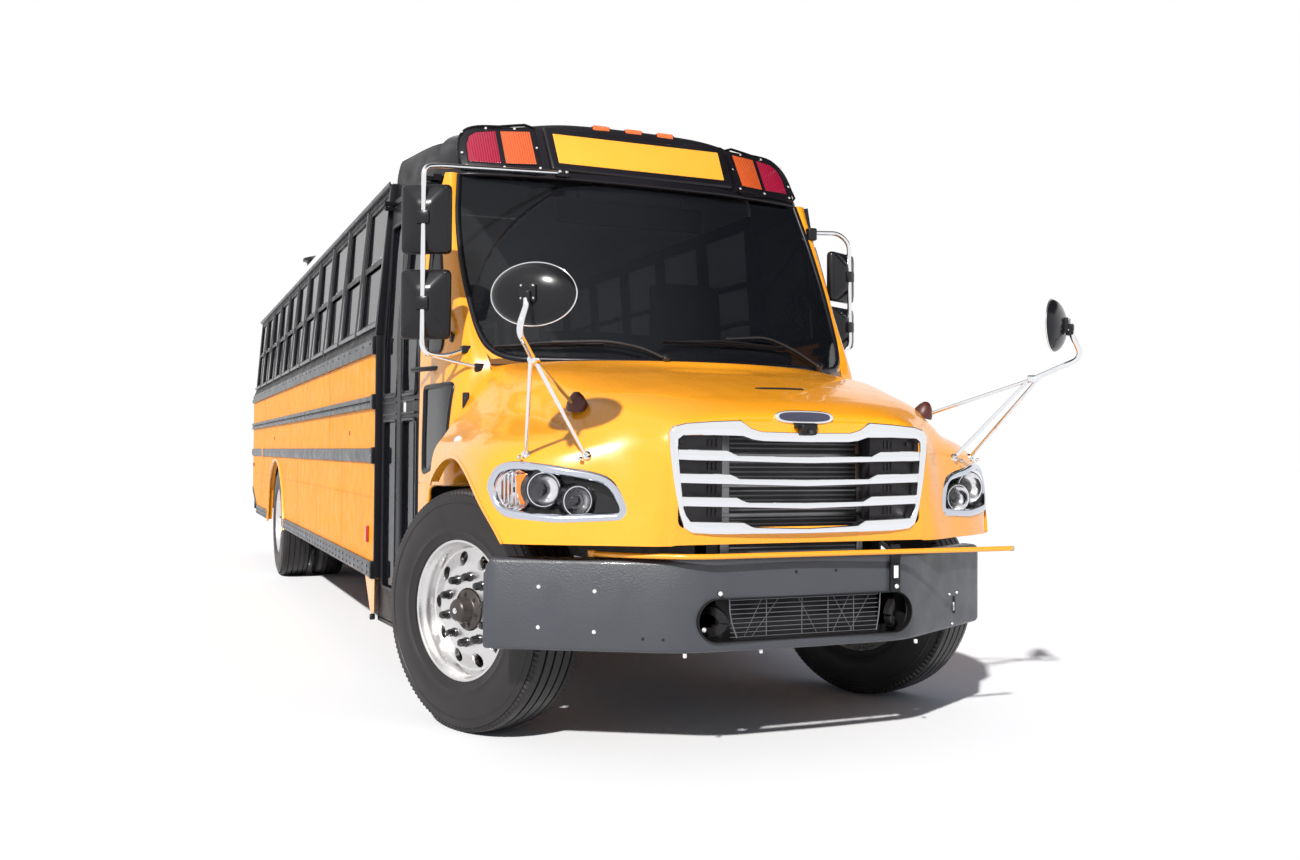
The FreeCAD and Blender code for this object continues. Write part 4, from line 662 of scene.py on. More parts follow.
reflectors = [lathed([(-0.004, r - 0.003), (-0.004, r), (0.004, r + 0.001), (0.045, 0.03), (0.048, 0.012),
                      (0.041, 0.01), (0.022, r * 0.66), (0.003, r - 0.006)], centre, (0, 1, 0), 40)
              for centre, r, _, _ in LIGHTS]
corner = lathed([(-0.002, 0.074), (0.004, 0.076), (0.04, 0.048), (0.052, 0.014), (0.046, 0.01), (0.034, 0.044),
                 (0.004, 0.068)],
                (-1.085, -0.568, 1.062), (0.35, 0.94, 0), 32)
for vertex in corner.data.vertices:
    vertex.co.z = 1.062 + (vertex.co.z - 1.062) * 1.1
facets = []
for number in range(7):
    x, y = -1.128 + number * 0.013, -0.533 - number * 0.0085
    facets.append(bar((x, y, 1.005), (x, y, 1.125), 0.0045, 8, 0.001))
mirror_bright = coating("vacuum_plated_bright", (0.92, 0.92, 0.94), 0.12, metal=1.0, drift=0.05, grain=0.25,
                        grain_scale=90.0)
both_sides(reflectors + [corner] + facets, "headlamp_reflectors", "hood_body", "headlamp", mirror_bright)

projectors = [lathed([(0.0, AXIS), (0.004, r * 0.55), (0.014, r * 0.92), (0.02, r), (0.03, r), (0.03, AXIS)],
                     (x, y, z), (0, 1, 0), 32) for (x, _, z), _, y, r in LIGHTS]
both_sides(projectors, "headlamp_projectors", "hood_body", "headlamp", lens_glass)
amber_lens = coating("amber_lens", (0.92, 0.22, 0.015), 0.15, coat=0.7, drift=0.12, grain=0.5, grain_scale=260.0)
amber_strip = plate([(-1.08, -0.572, 1.118), (-1.04, -0.603, 1.128), (-1.046, -0.599, 1.06), (-1.032, -0.609, 1.015),
                     (-1.062, -0.586, 1.005), (-1.074, -0.577, 1.058)], (0.0, 0.02, 0), round_edge=0.004)
both_sides(amber_strip, "headlamp_amber_strips", "hood_body", "headlamp", amber_lens)

# ------------ front cap
# A black fibreglass moulding that closes the roof over the windscreen. Its raked face carries the warning
# lamps in screwed panels, a lit sign whose face is left blank, and three amber clearance lamps.
CAP_LEVELS = [  # from the lower edge up the face and back over the top: x, y, z from the middle to the rear edge
    [(0, 0.735, 2.6), (0.3, 0.742, 2.6), (0.48, 0.752, 2.6), (0.75, 0.805, 2.6), (0.9, 0.845, 2.6), (0.985, 0.9, 2.6),
     (1.035, 0.98, 2.6), (1.075, 1.2, 2.6), (1.13, 1.69, 2.6)],
    [(0, 0.778, 2.68), (0.3, 0.784, 2.68), (0.48, 0.794, 2.68), (0.75, 0.851, 2.68), (0.9, 0.893, 2.68),
     (0.98, 0.945, 2.68), (1.028, 1.02, 2.68), (1.07, 1.23, 2.68), (1.128, 1.69, 2.68)],
    [(0, 0.824, 2.76), (0.3, 0.829, 2.76), (0.48, 0.839, 2.76), (0.745, 0.9, 2.76), (0.885, 0.943, 2.76),
     (0.965, 1.0, 2.757), (1.015, 1.08, 2.755), (1.06, 1.27, 2.755), (1.12, 1.69, 2.77)],
    [(0, 0.87, 2.84), (0.3, 0.874, 2.84), (0.48, 0.884, 2.838), (0.73, 0.948, 2.832), (0.85, 0.995, 2.825),
     (0.93, 1.055, 2.82), (0.985, 1.14, 2.82), (1.04, 1.31, 2.825), (1.1, 1.69, 2.84)],
    [(0, 0.905, 2.905), (0.3, 0.908, 2.903), (0.48, 0.918, 2.897), (0.69, 0.985, 2.888), (0.79, 1.04, 2.88),
     (0.86, 1.12, 2.876), (0.92, 1.22, 2.88), (0.99, 1.36, 2.888), (1.06, 1.69, 2.885)],
    [(0, 0.955, 2.945), (0.28, 0.958, 2.942), (0.45, 0.97, 2.932), (0.62, 1.04, 2.917), (0.7, 1.11, 2.912),
     (0.77, 1.2, 2.914), (0.83, 1.31, 2.922), (0.9, 1.42, 2.93), (0.99, 1.69, 2.93)],
    [(0, 1.1, 2.968), (0.27, 1.1, 2.965), (0.42, 1.12, 2.957), (0.53, 1.18, 2.948), (0.6, 1.24, 2.945),
     (0.66, 1.32, 2.948), (0.72, 1.42, 2.955), (0.8, 1.52, 2.962), (0.88, 1.69, 2.966)],
    [(0, 1.4, 3.008), (0.2, 1.4, 3.006), (0.32, 1.42, 3.001), (0.4, 1.45, 2.998), (0.45, 1.48, 2.997),
     (0.5, 1.52, 2.999), (0.55, 1.57, 3.002), (0.6, 1.62, 3.006), (0.65, 1.69, 3.008)],
    [(0, 1.69, 3.044), (0.1, 1.69, 3.043), (0.18, 1.69, 3.042), (0.25, 1.69, 3.04), (0.3, 1.69, 3.038),
     (0.36, 1.69, 3.035), (0.42, 1.69, 3.031), (0.48, 1.69, 3.027), (0.53, 1.69, 3.023)]]
cap_skin = coating("cap_black_gelcoat", (0.008, 0.007, 0.01), 0.3, coat=0.08, drift=0.25, grain=0.2, grain_scale=260.0,
                   shine=0.3)
cap_rows = [[(-x, y, z) for x, y, z in level[6:0:-1]] + list(level[:7]) for level in CAP_LEVELS]
cap = tidied(surface(cap_rows, 5, 5))
changed(cap, "SOLIDIFY", thickness=0.014, offset=-1)
bay_paint = above(coating("front_bay_paint", (0.006, 0.006, 0.008), 0.4, shine=0.2), 2.835,
                  (0.8, 0.81, 0.82))
bay = tidied(surface([[Vector(point) - Vector((0.01, 0, 0.008)) for point in level[5:]] for level in CAP_LEVELS], 5, 5))
changed(bay, "SOLIDIFY", thickness=0.008, offset=-1)
both_sides(bay, "roof_front_bay", "bus", "black_paint", bay_paint, smooth=50)
cap_lip = swept([(x, y + 0.004, z + 0.004) for x, y, z in between([Vector(p) for p in cap_rows[0]], 4)],
                ring_of(0.009, 10))
finished([cap, cap_lip], "front_cap_shell", "bus", "black_paint", cap_skin, ["front_cap"], smooth=50)

CAP_NORMAL = Vector((0.22, -0.82, 0.53)).normalized()
AMBER_EDGE = [(0.58, 0.789, 2.664), (0.734, 0.836, 2.664), (0.734, 0.957, 2.861), (0.58, 0.921, 2.866)]
RED_EDGE = [(0.752, 0.842, 2.664), (0.915, 0.884, 2.667), (0.912, 0.945, 2.77), (0.893, 0.972, 2.822),
            (0.855, 0.98, 2.848), (0.752, 0.962, 2.861)]
PANEL_EDGE = [(0.548, 0.762, 2.636), (0.735, 0.812, 2.628), (0.945, 0.868, 2.634), (0.958, 0.912, 2.7),
              (0.945, 0.972, 2.8), (0.905, 1.005, 2.862),
              (0.84, 0.992, 2.885), (0.735, 0.97, 2.89), (0.548, 0.935, 2.892)]


def ribbed(name, colour, scale):
    """A coloured lens with fine upright ribs moulded in its face."""
    skin = coating(name, colour, 0.16, coat=0.6, drift=0.08, grain=0.7, depth=0.003)
    tree = skin.node_tree
    ribs = added(tree, "TexWave", {"Scale": scale, "Vector": added(tree, "TexCoord").outputs["Object"]},
                 wave_type="BANDS", bands_direction="X")
    fed(tree, tree.nodes["bump"], {"Height": ribs.outputs["Fac"]})
    return skin


red_lens = ribbed("ribbed_red_lens", (0.34, 0.008, 0.04), 26.0)
amber_ribs = ribbed("ribbed_amber_lens", (0.66, 0.105, 0.022), 26.0)


def on_face(points, lift):
    """Points of the cap's face lifted off it."""
    return [tuple(Vector(point) + CAP_NORMAL * lift) for point in points]


lens_back = tuple(CAP_NORMAL * -0.03)
panel = plate(on_face(PANEL_EDGE, 0.004), tuple(CAP_NORMAL * -0.02), round_edge=0.003)
rim = swept(on_face(round_loop(PANEL_EDGE, 3), 0.004), bead(0.006, 0.004, -0.006, 0.004), True, tuple(CAP_NORMAL))
bars = [swept(on_face(edge, 0.003), bead(0.004, 0.003, -0.006, 0.006), True, tuple(CAP_NORMAL))
        for edge in (AMBER_EDGE, RED_EDGE)]
both_sides([panel, rim] + bars, "warning_lamp_panels", "bus", "black_paint", cap_skin, smooth=50)
both_sides(plate(on_face(RED_EDGE, 0.009), lens_back, 0.006, 3), "warning_lenses_red", "bus", "lamp_red", red_lens,
           ["lamps"])
both_sides(plate(on_face(AMBER_EDGE, 0.009), lens_back, 0.006, 3), "warning_lenses_amber", "bus", "lamp_red",
           amber_ribs)

screw_white = coating("zinc_screw", (0.75, 0.75, 0.74), 0.3, metal=0.4, drift=0.1)
SCREWS = [(0.925, 0.985, 2.845), (0.8, 0.98, 2.876), (0.655, 0.95, 2.881), (0.94, 0.912, 2.72), (0.925, 0.872, 2.648),
          (0.742, 0.823, 2.646),
          (0.567, 0.776, 2.648), (0.562, 0.86, 2.77)]
screw = lathed([(0, AXIS), (0, 0.0075), (0.003, 0.006), (0.0045, AXIS)], (0, 0, 0), tuple(CAP_NORMAL), 10)
both_sides(repeated(screw, on_face(SCREWS, 0.004)), "warning_panel_screws", "bus", "chrome", screw_white)

sign_normal = Vector((0, -0.87, 0.49))
SIGN_EDGE = [(-0.47, 0.786, 2.678), (0.47, 0.786, 2.678), (0.476, 0.884, 2.852), (-0.476, 0.884, 2.852)]
FRAME_EDGE = [(-0.512, 0.765, 2.64), (0.512, 0.765, 2.64), (0.52, 0.908, 2.896), (0.3, 0.908, 2.896),
              (0.265, 0.897, 2.876), (-0.265, 0.897, 2.876),
              (-0.3, 0.908, 2.896), (-0.52, 0.908, 2.896)]
frame_plate = plate([tuple(Vector(p) + sign_normal * 0.016) for p in FRAME_EDGE], tuple(sign_normal * -0.04), 0.014, 4)
sign_face = plate([tuple(Vector(p) + sign_normal * 0.018) for p in SIGN_EDGE], tuple(sign_normal * -0.01), 0.004, 3)
finished(frame_plate, "sign_frame", "bus", "black_paint", cap_skin, ["sign_front"], smooth=35)
sign_skin = coating("blank_sign_yellow", (0.9, 0.41, 0.035), 0.4, drift=0.05, grain=0.15)
finished(sign_face, "blank_sign_face", "bus", "sign_yellow", sign_skin)
clearance, bases = [], []
for x in (-0.185, 0.0, 0.185):
    clearance.append(block((x - 0.048, 0.918, 2.908), (x + 0.048, 0.955, 2.946), 0.008, 3))
    bases.append(block((x - 0.054, 0.925, 2.902), (x + 0.054, 0.965, 2.94), 0.004, 2))
finished(clearance, "clearance_lamps", "bus", "lamp_red", ribbed("clearance_amber", (0.88, 0.17, 0.02), 60.0))
finished(bases, "clearance_lamp_bases", "bus", "black_paint", cap_skin)

# ------------ cowl and windscreen pillars
# Fibreglass corners carry the body's line from the doors round to the windscreen and flare out at the hood.
# Each side has a quarter window and a lower light in black rubber gaskets, and a rubber hood latch in a cup.
SCREEN_FOOT, SCREEN_TALL = 1.62, 0.98


def screen_edge(height):
    """The windscreen's left edge at a height: it bulges between the cowl and the cap."""
    rise = (height - SCREEN_FOOT) / SCREEN_TALL
    return 0.94 + 0.208 * rise - 0.186 * rise ** 2, 0.336 + 0.667 * rise - 0.123 * rise ** 2


def tinted(name, alpha, colour=(0.008, 0.009, 0.012)):
    """Dark glass: a clear gloss over a tint that lets part of the light through."""
    pane = coating(name, colour, 0.02, drift=0.15, grain=0.0)
    pane.node_tree.nodes["Principled BSDF"].inputs["Alpha"].default_value = alpha
    return pane


screen_glass = tinted("windscreen_tint", 0.6)
side_glass = tinted("side_window_tint", 0.78)
painted(side_glass, "window_glass", "door_glass_front", "door_glass_rear", "rear_door_glass")


gasket_rubber = coating("gasket_rubber", (0.006, 0.006, 0.01), 0.32, grain=0.3, shine=0.25)

COWL_ROWS = [  # height, then x, y from the door post forward; the screen's edge ends each row
    (0.88, (1.142, 0.885), (1.14, 0.84), (1.138, 0.8), (1.137, 0.775), (1.136, 0.76)),
    (0.97, (1.142, 0.885), (1.139, 0.83), (1.137, 0.77), (1.135, 0.735), (1.133, 0.715)),
    (1.048, (1.142, 0.885), (1.137, 0.8), (1.133, 0.72), (1.128, 0.685), (1.124, 0.66)),
    (1.072, (1.142, 0.885), (1.135, 0.7), (1.125, 0.5), (1.105, 0.4), (1.06, 0.36)),
    (1.25, (1.142, 0.885), (1.135, 0.7), (1.122, 0.5), (1.102, 0.4), (1.056, 0.358)),
    (1.45, (1.14, 0.885), (1.13, 0.7), (1.115, 0.52), (1.09, 0.42), (1.05, 0.362)),
    (1.6, (1.139, 0.885), (1.125, 0.7), (1.1, 0.54), (1.065, 0.44), (1.02, 0.372)),
    (1.75, (1.138, 0.885), (1.118, 0.73), (1.09, 0.6), (1.06, 0.51), (1.02, 0.445)),
    (1.95, (1.137, 0.885), (1.11, 0.78), (1.085, 0.69), (1.06, 0.62), (1.03, 0.568)),
    (2.15, (1.137, 0.885), (1.105, 0.82), (1.08, 0.76), (1.06, 0.71), (1.035, 0.676)),
    (2.38, (1.078, 0.885), (1.065, 0.855), (1.05, 0.82), (1.035, 0.795), (1.015, 0.785)),
    (2.606, (1.026, 0.893), (1.018, 0.888), (1.007, 0.882), (0.996, 0.879), (0.982, 0.88))]
LOWER_LIGHT = [(0.79, 1.105), (0.79, 1.52), (0.425, 1.52), (0.425, 1.265), (0.64, 1.13)]
QUARTER_LIGHT = [(0.8, 1.685), (0.836, 2.38), (0.795, 2.29), (0.7, 2.05), (0.605, 1.78), (0.59, 1.685)]
COWL_FOOT = 1.06  # below it the row ends behind the tyre, clear of the screen's line
rows = []
for height, *plan in COWL_ROWS:
    x, y = screen_edge(max(height, 1.6))
    end = (x + 0.004, y + 0.006) if height > COWL_FOOT else (plan[-1][0] - 0.01, plan[-1][1] + 0.01)
    rows.append([(*point, height) for point in plan + [end]])
cowl_skin = tidied(surface(rows, 5, 5))
changed(cowl_skin, "SOLIDIFY", thickness=0.014, offset=0)


def seen_from_side(skin, outline, radius=0.03):
    """An outline of (y, z) corners laid on the left face of a skin, as a closed line with round corners."""
    corners = [Vector((0, y, z)) for y, z in outline]
    middle = corners[0].lerp(corners[-1], 0.5)
    path = rounded_path([middle] + corners + [middle], radius, 5)
    path = [start.lerp(end, step / 4) for start, end in zip(path, path[1:])
            for step in range(4 if (end - start).length > 0.06 else 1)]
    line = []
    for point in path:
        met, place, _, _ = skin.ray_cast((1.5, point.y, point.z), (-1, 0, 0))
        if met:
            line.append(place)
    return line


light_lines = [seen_from_side(cowl_skin, outline) for outline in (LOWER_LIGHT, QUARTER_LIGHT)]
panes = [pane_from(cowl_skin, plate([(0.9, point.y, point.z) for point in line], (0.5, 0, 0)), 0.004)
         for line in light_lines]
deck = plate([(0.955, 0.345, 1.59), (0.7, 0.196, 1.59), (0.35, 0.062, 1.59), (0, 0.012, 1.59), (-0.35, 0.062, 1.59),
              (-0.7, 0.196, 1.59),
              (-0.955, 0.345, 1.59), (-0.955, 0.6, 1.59), (0.955, 0.6, 1.59)], (0, 0, 0.03), 0.006)
firewall = block((-1.05, 0.602, 1.064), (1.05, 0.64, 1.59), 0.004)
finished([mirrored(cowl_skin), deck, firewall], "cowl_skin", "bus", "yellow_paint", yellow, ["cowl"], smooth=50)
cowl_glass = tinted("cowl_glass_tint", 0.88)
both_sides(panes, "cowl_light_glass", "bus", "glass", cowl_glass)
gaskets = [swept(line, bead(0.013, 0.009, -0.003, 0.006, 0.008), True, (1, -0.2, 0)) for line in light_lines]
both_sides(gaskets, "cowl_light_gaskets", "bus", "black_paint", gasket_rubber, smooth=60)
latch_turn = set_at((1.048, 0.352, 1.424), 38)
cup = block((-0.016, -0.006, -0.056), (0.016, 0.012, 0.056), 0.006, 3)
strap = block((-0.007, -0.013, -0.04), (0.007, -0.004, 0.034), 0.003, 2)
for piece in (cup, strap):
    piece.data.transform(latch_turn)
both_sides(cup, "hood_latch_cups", "bus", "mirror_black", shadow_black)
both_sides(strap, "hood_latch_straps", "bus", "mirror_black", moulded)
handle = pipe([(-1.078, 0.64, 1.905), (-1.118, 0.585, 1.88), (-1.112, 0.52, 1.795), (-1.066, 0.53, 1.745)], 0.0125,
              0.03, 14, 6)
feet = [block((-1.092, 0.615, 1.885), (-1.07, 0.665, 1.925), 0.006),
        block((-1.082, 0.505, 1.722), (-1.058, 0.55, 1.76), 0.006)]
finished([handle] + feet, "pillar_grab_handle", "bus", "mirror_black", moulded)

# ------------ driver's side panel
# A painted steel panel with one dark glass. Beside the driver the left wall turns in towards the pillar, and it
# leans in more the nearer it comes to the cap.
panel_rows = []
for height in (0.5, 1.2, 1.8, 2.0, 2.2, 2.4, 2.6):
    lean = max(0.0, height - 1.8) / 0.8
    rear, front = (1.193 - 0.055 * lean, 1.689), (1.142 - 0.118 * lean ** 1.3, 0.886)
    panel_rows.append([(rear[0] + (front[0] - rear[0]) * share, rear[1] + (front[1] - rear[1]) * share, height)
                       for share in (0, 0.33, 0.67, 1)])
panel = tidied(surface(panel_rows, 4, 4))
changed(panel, "SOLIDIFY", thickness=0.03, offset=1)
driver_light = [(1.635, 1.875), (1.635, 2.575), (0.965, 2.575), (0.965, 1.875)]
opening = plate([(0.95, y, z) for y, z in driver_light], (0.5, 0, 0), 0.04, 4)
driver_pane = pane_from(panel, opening, 0.012)
finished(panel, "driver_side_panel", "bus", "yellow_paint", shell_paint, ["driver_panel"], smooth=50)
finished(driver_pane, "driver_side_glass", "bus", "glass", side_glass)

# ------------ windscreen and wipers
# One curved pane of tinted laminated glass is held in a black rubber gasket whose lower corners are round. Two
# black wipers park along its foot.
def screen_point(share, height):
    """A point of the screen's outer face: share runs from -1 at the right pillar to 1 at the left one."""
    corner_x, corner_y = screen_edge(height)
    middle_y = 0.77 * (height - SCREEN_FOOT) / SCREEN_TALL
    depth = corner_y - middle_y
    radius = (corner_x ** 2 + depth ** 2) / (2 * depth)
    x = share * corner_x
    return Vector((x, middle_y + radius - math.sqrt(radius ** 2 - x ** 2), height))


screen_rows = [[screen_point(share / 8, height) for share in range(-8, 9)]
               for height in (1.606, 1.75, 1.9, 2.05, 2.2, 2.35, 2.5, 2.612)]
screen = tidied(surface(screen_rows, 3, 3))
changed(screen, "SOLIDIFY", thickness=0.006, offset=0)
finished(screen, "windscreen_pane", "bus", "glass", screen_glass, ["windscreen"], smooth=60)
corner = [(-1.0, 1.86), (-0.998, 1.78), (-0.985, 1.71), (-0.95, 1.665), (-0.89, 1.642), (-0.8, 1.634)]
half_edge = [(-1.0, 2.6), (-1.0, 2.36), (-1.0, 2.1)] + corner + [(-0.55, 1.63), (-0.28, 1.628)]
edge = half_edge + [(0.0, 1.627)] + [(-share, height) for share, height in half_edge[::-1]]
seal_line = [screen_point(share, height) + Vector((0, -0.002, 0)) for share, height in edge]
seal = swept(between(seal_line, 4), bead(0.017, 0.012, -0.004, 0.007, 0.01), flat=(0, -1, 0.5))
finished(seal, "windscreen_gasket", "bus", "black_paint", gasket_rubber, smooth=60)
corner_fill = [screen_point(share, height) + Vector((0, -0.005, 0))
               for share, height in [(-1.02, 1.84)] + corner[1:] + [(-0.78, 1.612), (-1.03, 1.612)]]
both_sides(plate(corner_fill, (0, 0.004, 0)), "windscreen_corner_panels", "bus", "yellow_paint", yellow)

wiper_black = coating("wiper_black", (0.01, 0.01, 0.012), 0.3, coat=0.2, grain=0.2)
wipers = []
for foot, elbow, knee, tip, blade_start, blade_end in (
        ((-0.204, -0.004, 1.64), (-0.299, 0.04, 1.69), (-0.445, 0.092, 1.72), (-0.695, 0.18, 1.712),
         (-0.925, 0.33, 1.692), (-0.471, 0.098, 1.704)),
        ((0.693, 0.152, 1.645), (0.541, 0.13, 1.722), (0.377, 0.122, 1.778), (0.13, 0.062, 1.752),
         (-0.199, 0.048, 1.724), (0.46, 0.106, 1.728))):
    wipers.append(pipe([foot, elbow, knee, tip], 0.0085, 0.07, 10))
    wipers.append(bar((foot[0], foot[1] + 0.02, foot[2] - 0.02), (foot[0], foot[1] - 0.012, foot[2] + 0.012), 0.018, 20,
                      0.003))
    start, end = Vector(blade_start), Vector(blade_end)
    blade, yoke = [[start.lerp(end, share) + Vector((0, y, z)) for share, y, z in line] for line in (
        ((0, 0, 0), (0.5, -0.02, 0), (1, 0, 0)), ((0.12, -0.008, 0.002), (0.5, -0.028, 0.012), (0.88, -0.008, 0.002)))]
    wipers.append(swept(between(blade, 8), [(-0.004, -0.009), (0.004, -0.009), (0.003, 0.008), (-0.003, 0.008)],
                        flat=(0, -0.8, 0.5)))
    wipers.append(swept(between(yoke, 8), [(-0.005, -0.003), (0.005, -0.003), (0.004, 0.004), (-0.004, 0.004)],
                        flat=(0, -0.8, 0.5)))
finished(wipers, "wiper_set", "bus", "mirror_black", wiper_black, ["wipers"], smooth=50)

# ------------ tyres
# Steel-belted truck tyres 1.05 m across, black rubber moulded in one piece: five ribs round the tread, a
# notched shoulder and plain raised rings on the sidewalls, without lettering.
TYRE_HALF = [  # along the axle, radius: from the middle of the tread over the shoulder to the bead
    (0.0195, 0.5248), (0.0205, 0.513), (0.029, 0.513), (0.03, 0.5245), (0.066, 0.5232), (0.067, 0.511), (0.076, 0.511),
             (0.077, 0.5222),
    (0.106, 0.519), (0.114, 0.5165), (0.119, 0.51), (0.1215, 0.5), (0.124, 0.497), (0.1255, 0.49), (0.1295, 0.47),
             (0.1325, 0.468),
    (0.133, 0.463), (0.131, 0.461), (0.1368, 0.43), (0.1392, 0.4), (0.1394, 0.375), (0.1375, 0.352), (0.139, 0.348),
             (0.139, 0.342),
    (0.1365, 0.339), (0.1315, 0.316), (0.129, 0.307), (0.121, 0.304), (0.119, 0.298), (0.1, 0.292), (0.096, 0.302),
             (0.125, 0.38),
    (0.105, 0.48), (0.06, 0.5)]
NOTCHES = 132
tyre = lathed(TYRE_HALF + [(-along, radius) for along, radius in TYRE_HALF[::-1]], steps=NOTCHES * 2)
for vertex in tyre.data.vertices:
    along, radius = abs(vertex.co.x), math.hypot(vertex.co.y, vertex.co.z)
    step = round(math.atan2(vertex.co.z, vertex.co.y) / math.pi * NOTCHES)
    if step % 2 and 0.113 < along < 0.1235 and radius > 0.498:
        vertex.co = Vector((vertex.co.x * 0.97, vertex.co.y * (1 - 0.007 / radius), vertex.co.z * (1 - 0.007 / radius)))
rubber = coating("tyre_rubber", (0.017, 0.015, 0.016), 0.42, grain=0.2, grain_scale=420.0, shine=0.35)

# ------------ wheels
# Forged disc wheels with ten hand holes, polished where they face outwards and black between the rear pair. Ten
# nuts under black covers hold each one to a dark cast hub; the brake drum stands behind the disc.
HOLE_CIRCLE, NUT_CIRCLE = 0.226, 0.1425


def around(original, radius, count, start):
    """Copies of an original stood in a circle about the X axis."""
    copies = []
    for turn in turns(count):
        copies.append(copied(original, Matrix.Rotation(start + turn, 4, "X") @ Matrix.Translation((0, 0, radius))))
    bpy.data.objects.remove(original, do_unlink=True)
    return together(copies)


def disc_wheel(face, foot):
    """A wheel whose nut flange stands at face along the axle and whose disc meets the barrel at foot."""
    fall = face - foot
    profile = [(0.1235, 0.303), (0.1245, 0.2985), (0.1225, 0.293), (0.118, 0.29), (0.106, 0.287), (0.099, 0.28),
               (0.086, 0.273),
               (foot + 0.016, 0.267), (foot + 0.004, 0.264), (foot, 0.258), (foot + fall * 0.02, 0.25),
               (foot + fall * 0.25, 0.228),
               (foot + fall * 0.62, 0.21), (foot + fall * 0.88, 0.201), (foot + fall * 0.99, 0.193), (face, 0.186),
               (face, 0.1),
               (face - 0.002, 0.093), (face - 0.008, 0.0885), (face - 0.022, 0.0885), (face - 0.022, 0.186),
               (foot - 0.018, 0.23),
               (foot - 0.022, 0.256), (foot - 0.034, 0.264), (-0.098, 0.268), (-0.106, 0.287), (-0.118, 0.29),
               (-0.1235, 0.303),
               (-0.11, 0.293), (-0.09, 0.276), (0.08, 0.279), (0.11, 0.293)]
    wheel = lathed(profile, steps=120)
    hole = lathed([(-0.16, AXIS), (-0.16, 0.028), (foot + fall * 0.2, 0.028), (foot + fall * 0.62, 0.033), (0.12, 0.06),
                   (0.12, AXIS)], steps=28)
    cut(wheel, around(hole, HOLE_CIRCLE, 10, math.radians(14)))
    cover = lathed([(face - 0.001, AXIS), (face - 0.001, 0.0215), (face + 0.007, 0.0215), (face + 0.01, 0.0185),
                    (face + 0.034, 0.0168),
                    (face + 0.043, 0.0125), (face + 0.047, AXIS)], steps=20)
    return wheel, around(cover, NUT_CIRCLE, 10, math.radians(-4))


def hub(end, cap):
    """A cast hub whose domed cap ends at end along the axle; cap is the cap's radius."""
    body = lathed([(end - 0.16, AXIS), (end - 0.16, 0.0875), (end - 0.07, 0.0875), (end - 0.066, 0.082),
                   (end - 0.062, cap + 0.01),
                   (end - 0.055, cap + 0.004), (end - 0.014, cap), (end - 0.005, cap - 0.007), (end, cap - 0.02),
                   (end, AXIS)], steps=56)
    bolt = lathed([(end - 0.068, AXIS), (end - 0.068, 0.0085), (end - 0.058, 0.0085), (end - 0.056, AXIS)], steps=6)
    return together([body, around(bolt, cap + 0.018, 6, 0.2)])


polished = coating("polished_aluminium", (0.72, 0.71, 0.71), 0.3, metal=1.0, drift=0.05, grain=0.03)
cover_black = coating("nut_cover_black", (0.012, 0.012, 0.013), 0.22, coat=0.4, grain=0.1)
cast_iron = coating("hub_cast_iron", (0.075, 0.066, 0.062), 0.38, metal=0.6, drift=0.3, grain=0.5, grain_scale=160.0)
wheel_black = coating("wheel_black", (0.015, 0.015, 0.016), 0.4, grain=0.2)
polished_wheel, front_covers = disc_wheel(0.073, 0.05)
dual_wheel, rear_covers = disc_wheel(-0.089, -0.055)
front_hub, rear_hub = hub(0.146, 0.05), hub(0.012, 0.06)
plug = lathed([(0.145, AXIS), (0.145, 0.0135), (0.1475, 0.0125), (0.1475, 0.0075), (0.15, 0.007), (0.1505, AXIS)],
              steps=24)
drum = lathed([(-0.105, 0.19), (-0.105, 0.207), (-0.045, 0.207), (-0.035, 0.203), (0.0, 0.198), (0.02, 0.1),
               (0.02, 0.05), (-0.02, 0.05), (-0.03, 0.185)], steps=64)
KINGPIN_X, WHEEL_OUT, AXLE_Z, STEER = 0.912, 0.13, 0.525, math.radians(24.3)
DUAL_OUT, DUAL_IN, REAR_AXLE, DRUM_X = 1.065, 0.745, 7.087, 0.8
for side, word in ((-1, "right"), (1, "left")):
    facing = Matrix.Rotation(STEER + (math.pi if side < 0 else 0), 4, "Z")
    front = (Matrix.Translation((side * KINGPIN_X, AXLE_Y, AXLE_Z)) @ facing @ Matrix.Translation((WHEEL_OUT, 0, 0)))
    sideways = Matrix.Rotation(math.pi if side < 0 else 0, 4, "Z")
    outer, inner, drum_place = [Matrix.Translation((side * x, REAR_AXLE, AXLE_Z)) @ sideways
                                for x in (DUAL_OUT, DUAL_IN, DRUM_X)]
    turned_in = inner @ Matrix.Rotation(math.pi, 4, "Z")
    rides = "front_wheel_" + word
    finished(copied(tyre, front), "front_tyre_rubber_" + word, rides, "tyre", rubber, ["front_tyre_" + word], smooth=32)
    finished(copied(polished_wheel, front), "front_rim_" + word, rides, "polished_aluminium", polished,
             ["front_wheel_" + word], smooth=32)
    finished(copied(front_covers, front), "front_nut_covers_" + word, rides, "mirror_black", cover_black)
    finished([copied(front_hub, front), copied(drum, front)], "front_hub_" + word, rides, "chassis_black", cast_iron)
    finished(copied(plug, front), "front_hub_plug_" + word, rides, "chrome", chrome)
    rides = "rear_wheels_" + word
    finished([copied(tyre, outer), copied(tyre, inner)], "rear_tyre_rubber_" + word, rides, "tyre", rubber,
             ["rear_tyres_" + word], smooth=32)
    finished(copied(dual_wheel, outer), "rear_outer_rim_" + word, rides, "polished_aluminium", polished,
             ["rear_wheels_" + word], smooth=32)
    finished(copied(dual_wheel, turned_in), "rear_inner_rim_" + word, rides, "black_wheel", wheel_black, smooth=32)
    finished(copied(rear_covers, outer), "rear_nut_covers_" + word, rides, "mirror_black", cover_black)
    finished([copied(rear_hub, outer), copied(drum, drum_place)], "rear_hub_" + word, rides, "chassis_black", cast_iron)
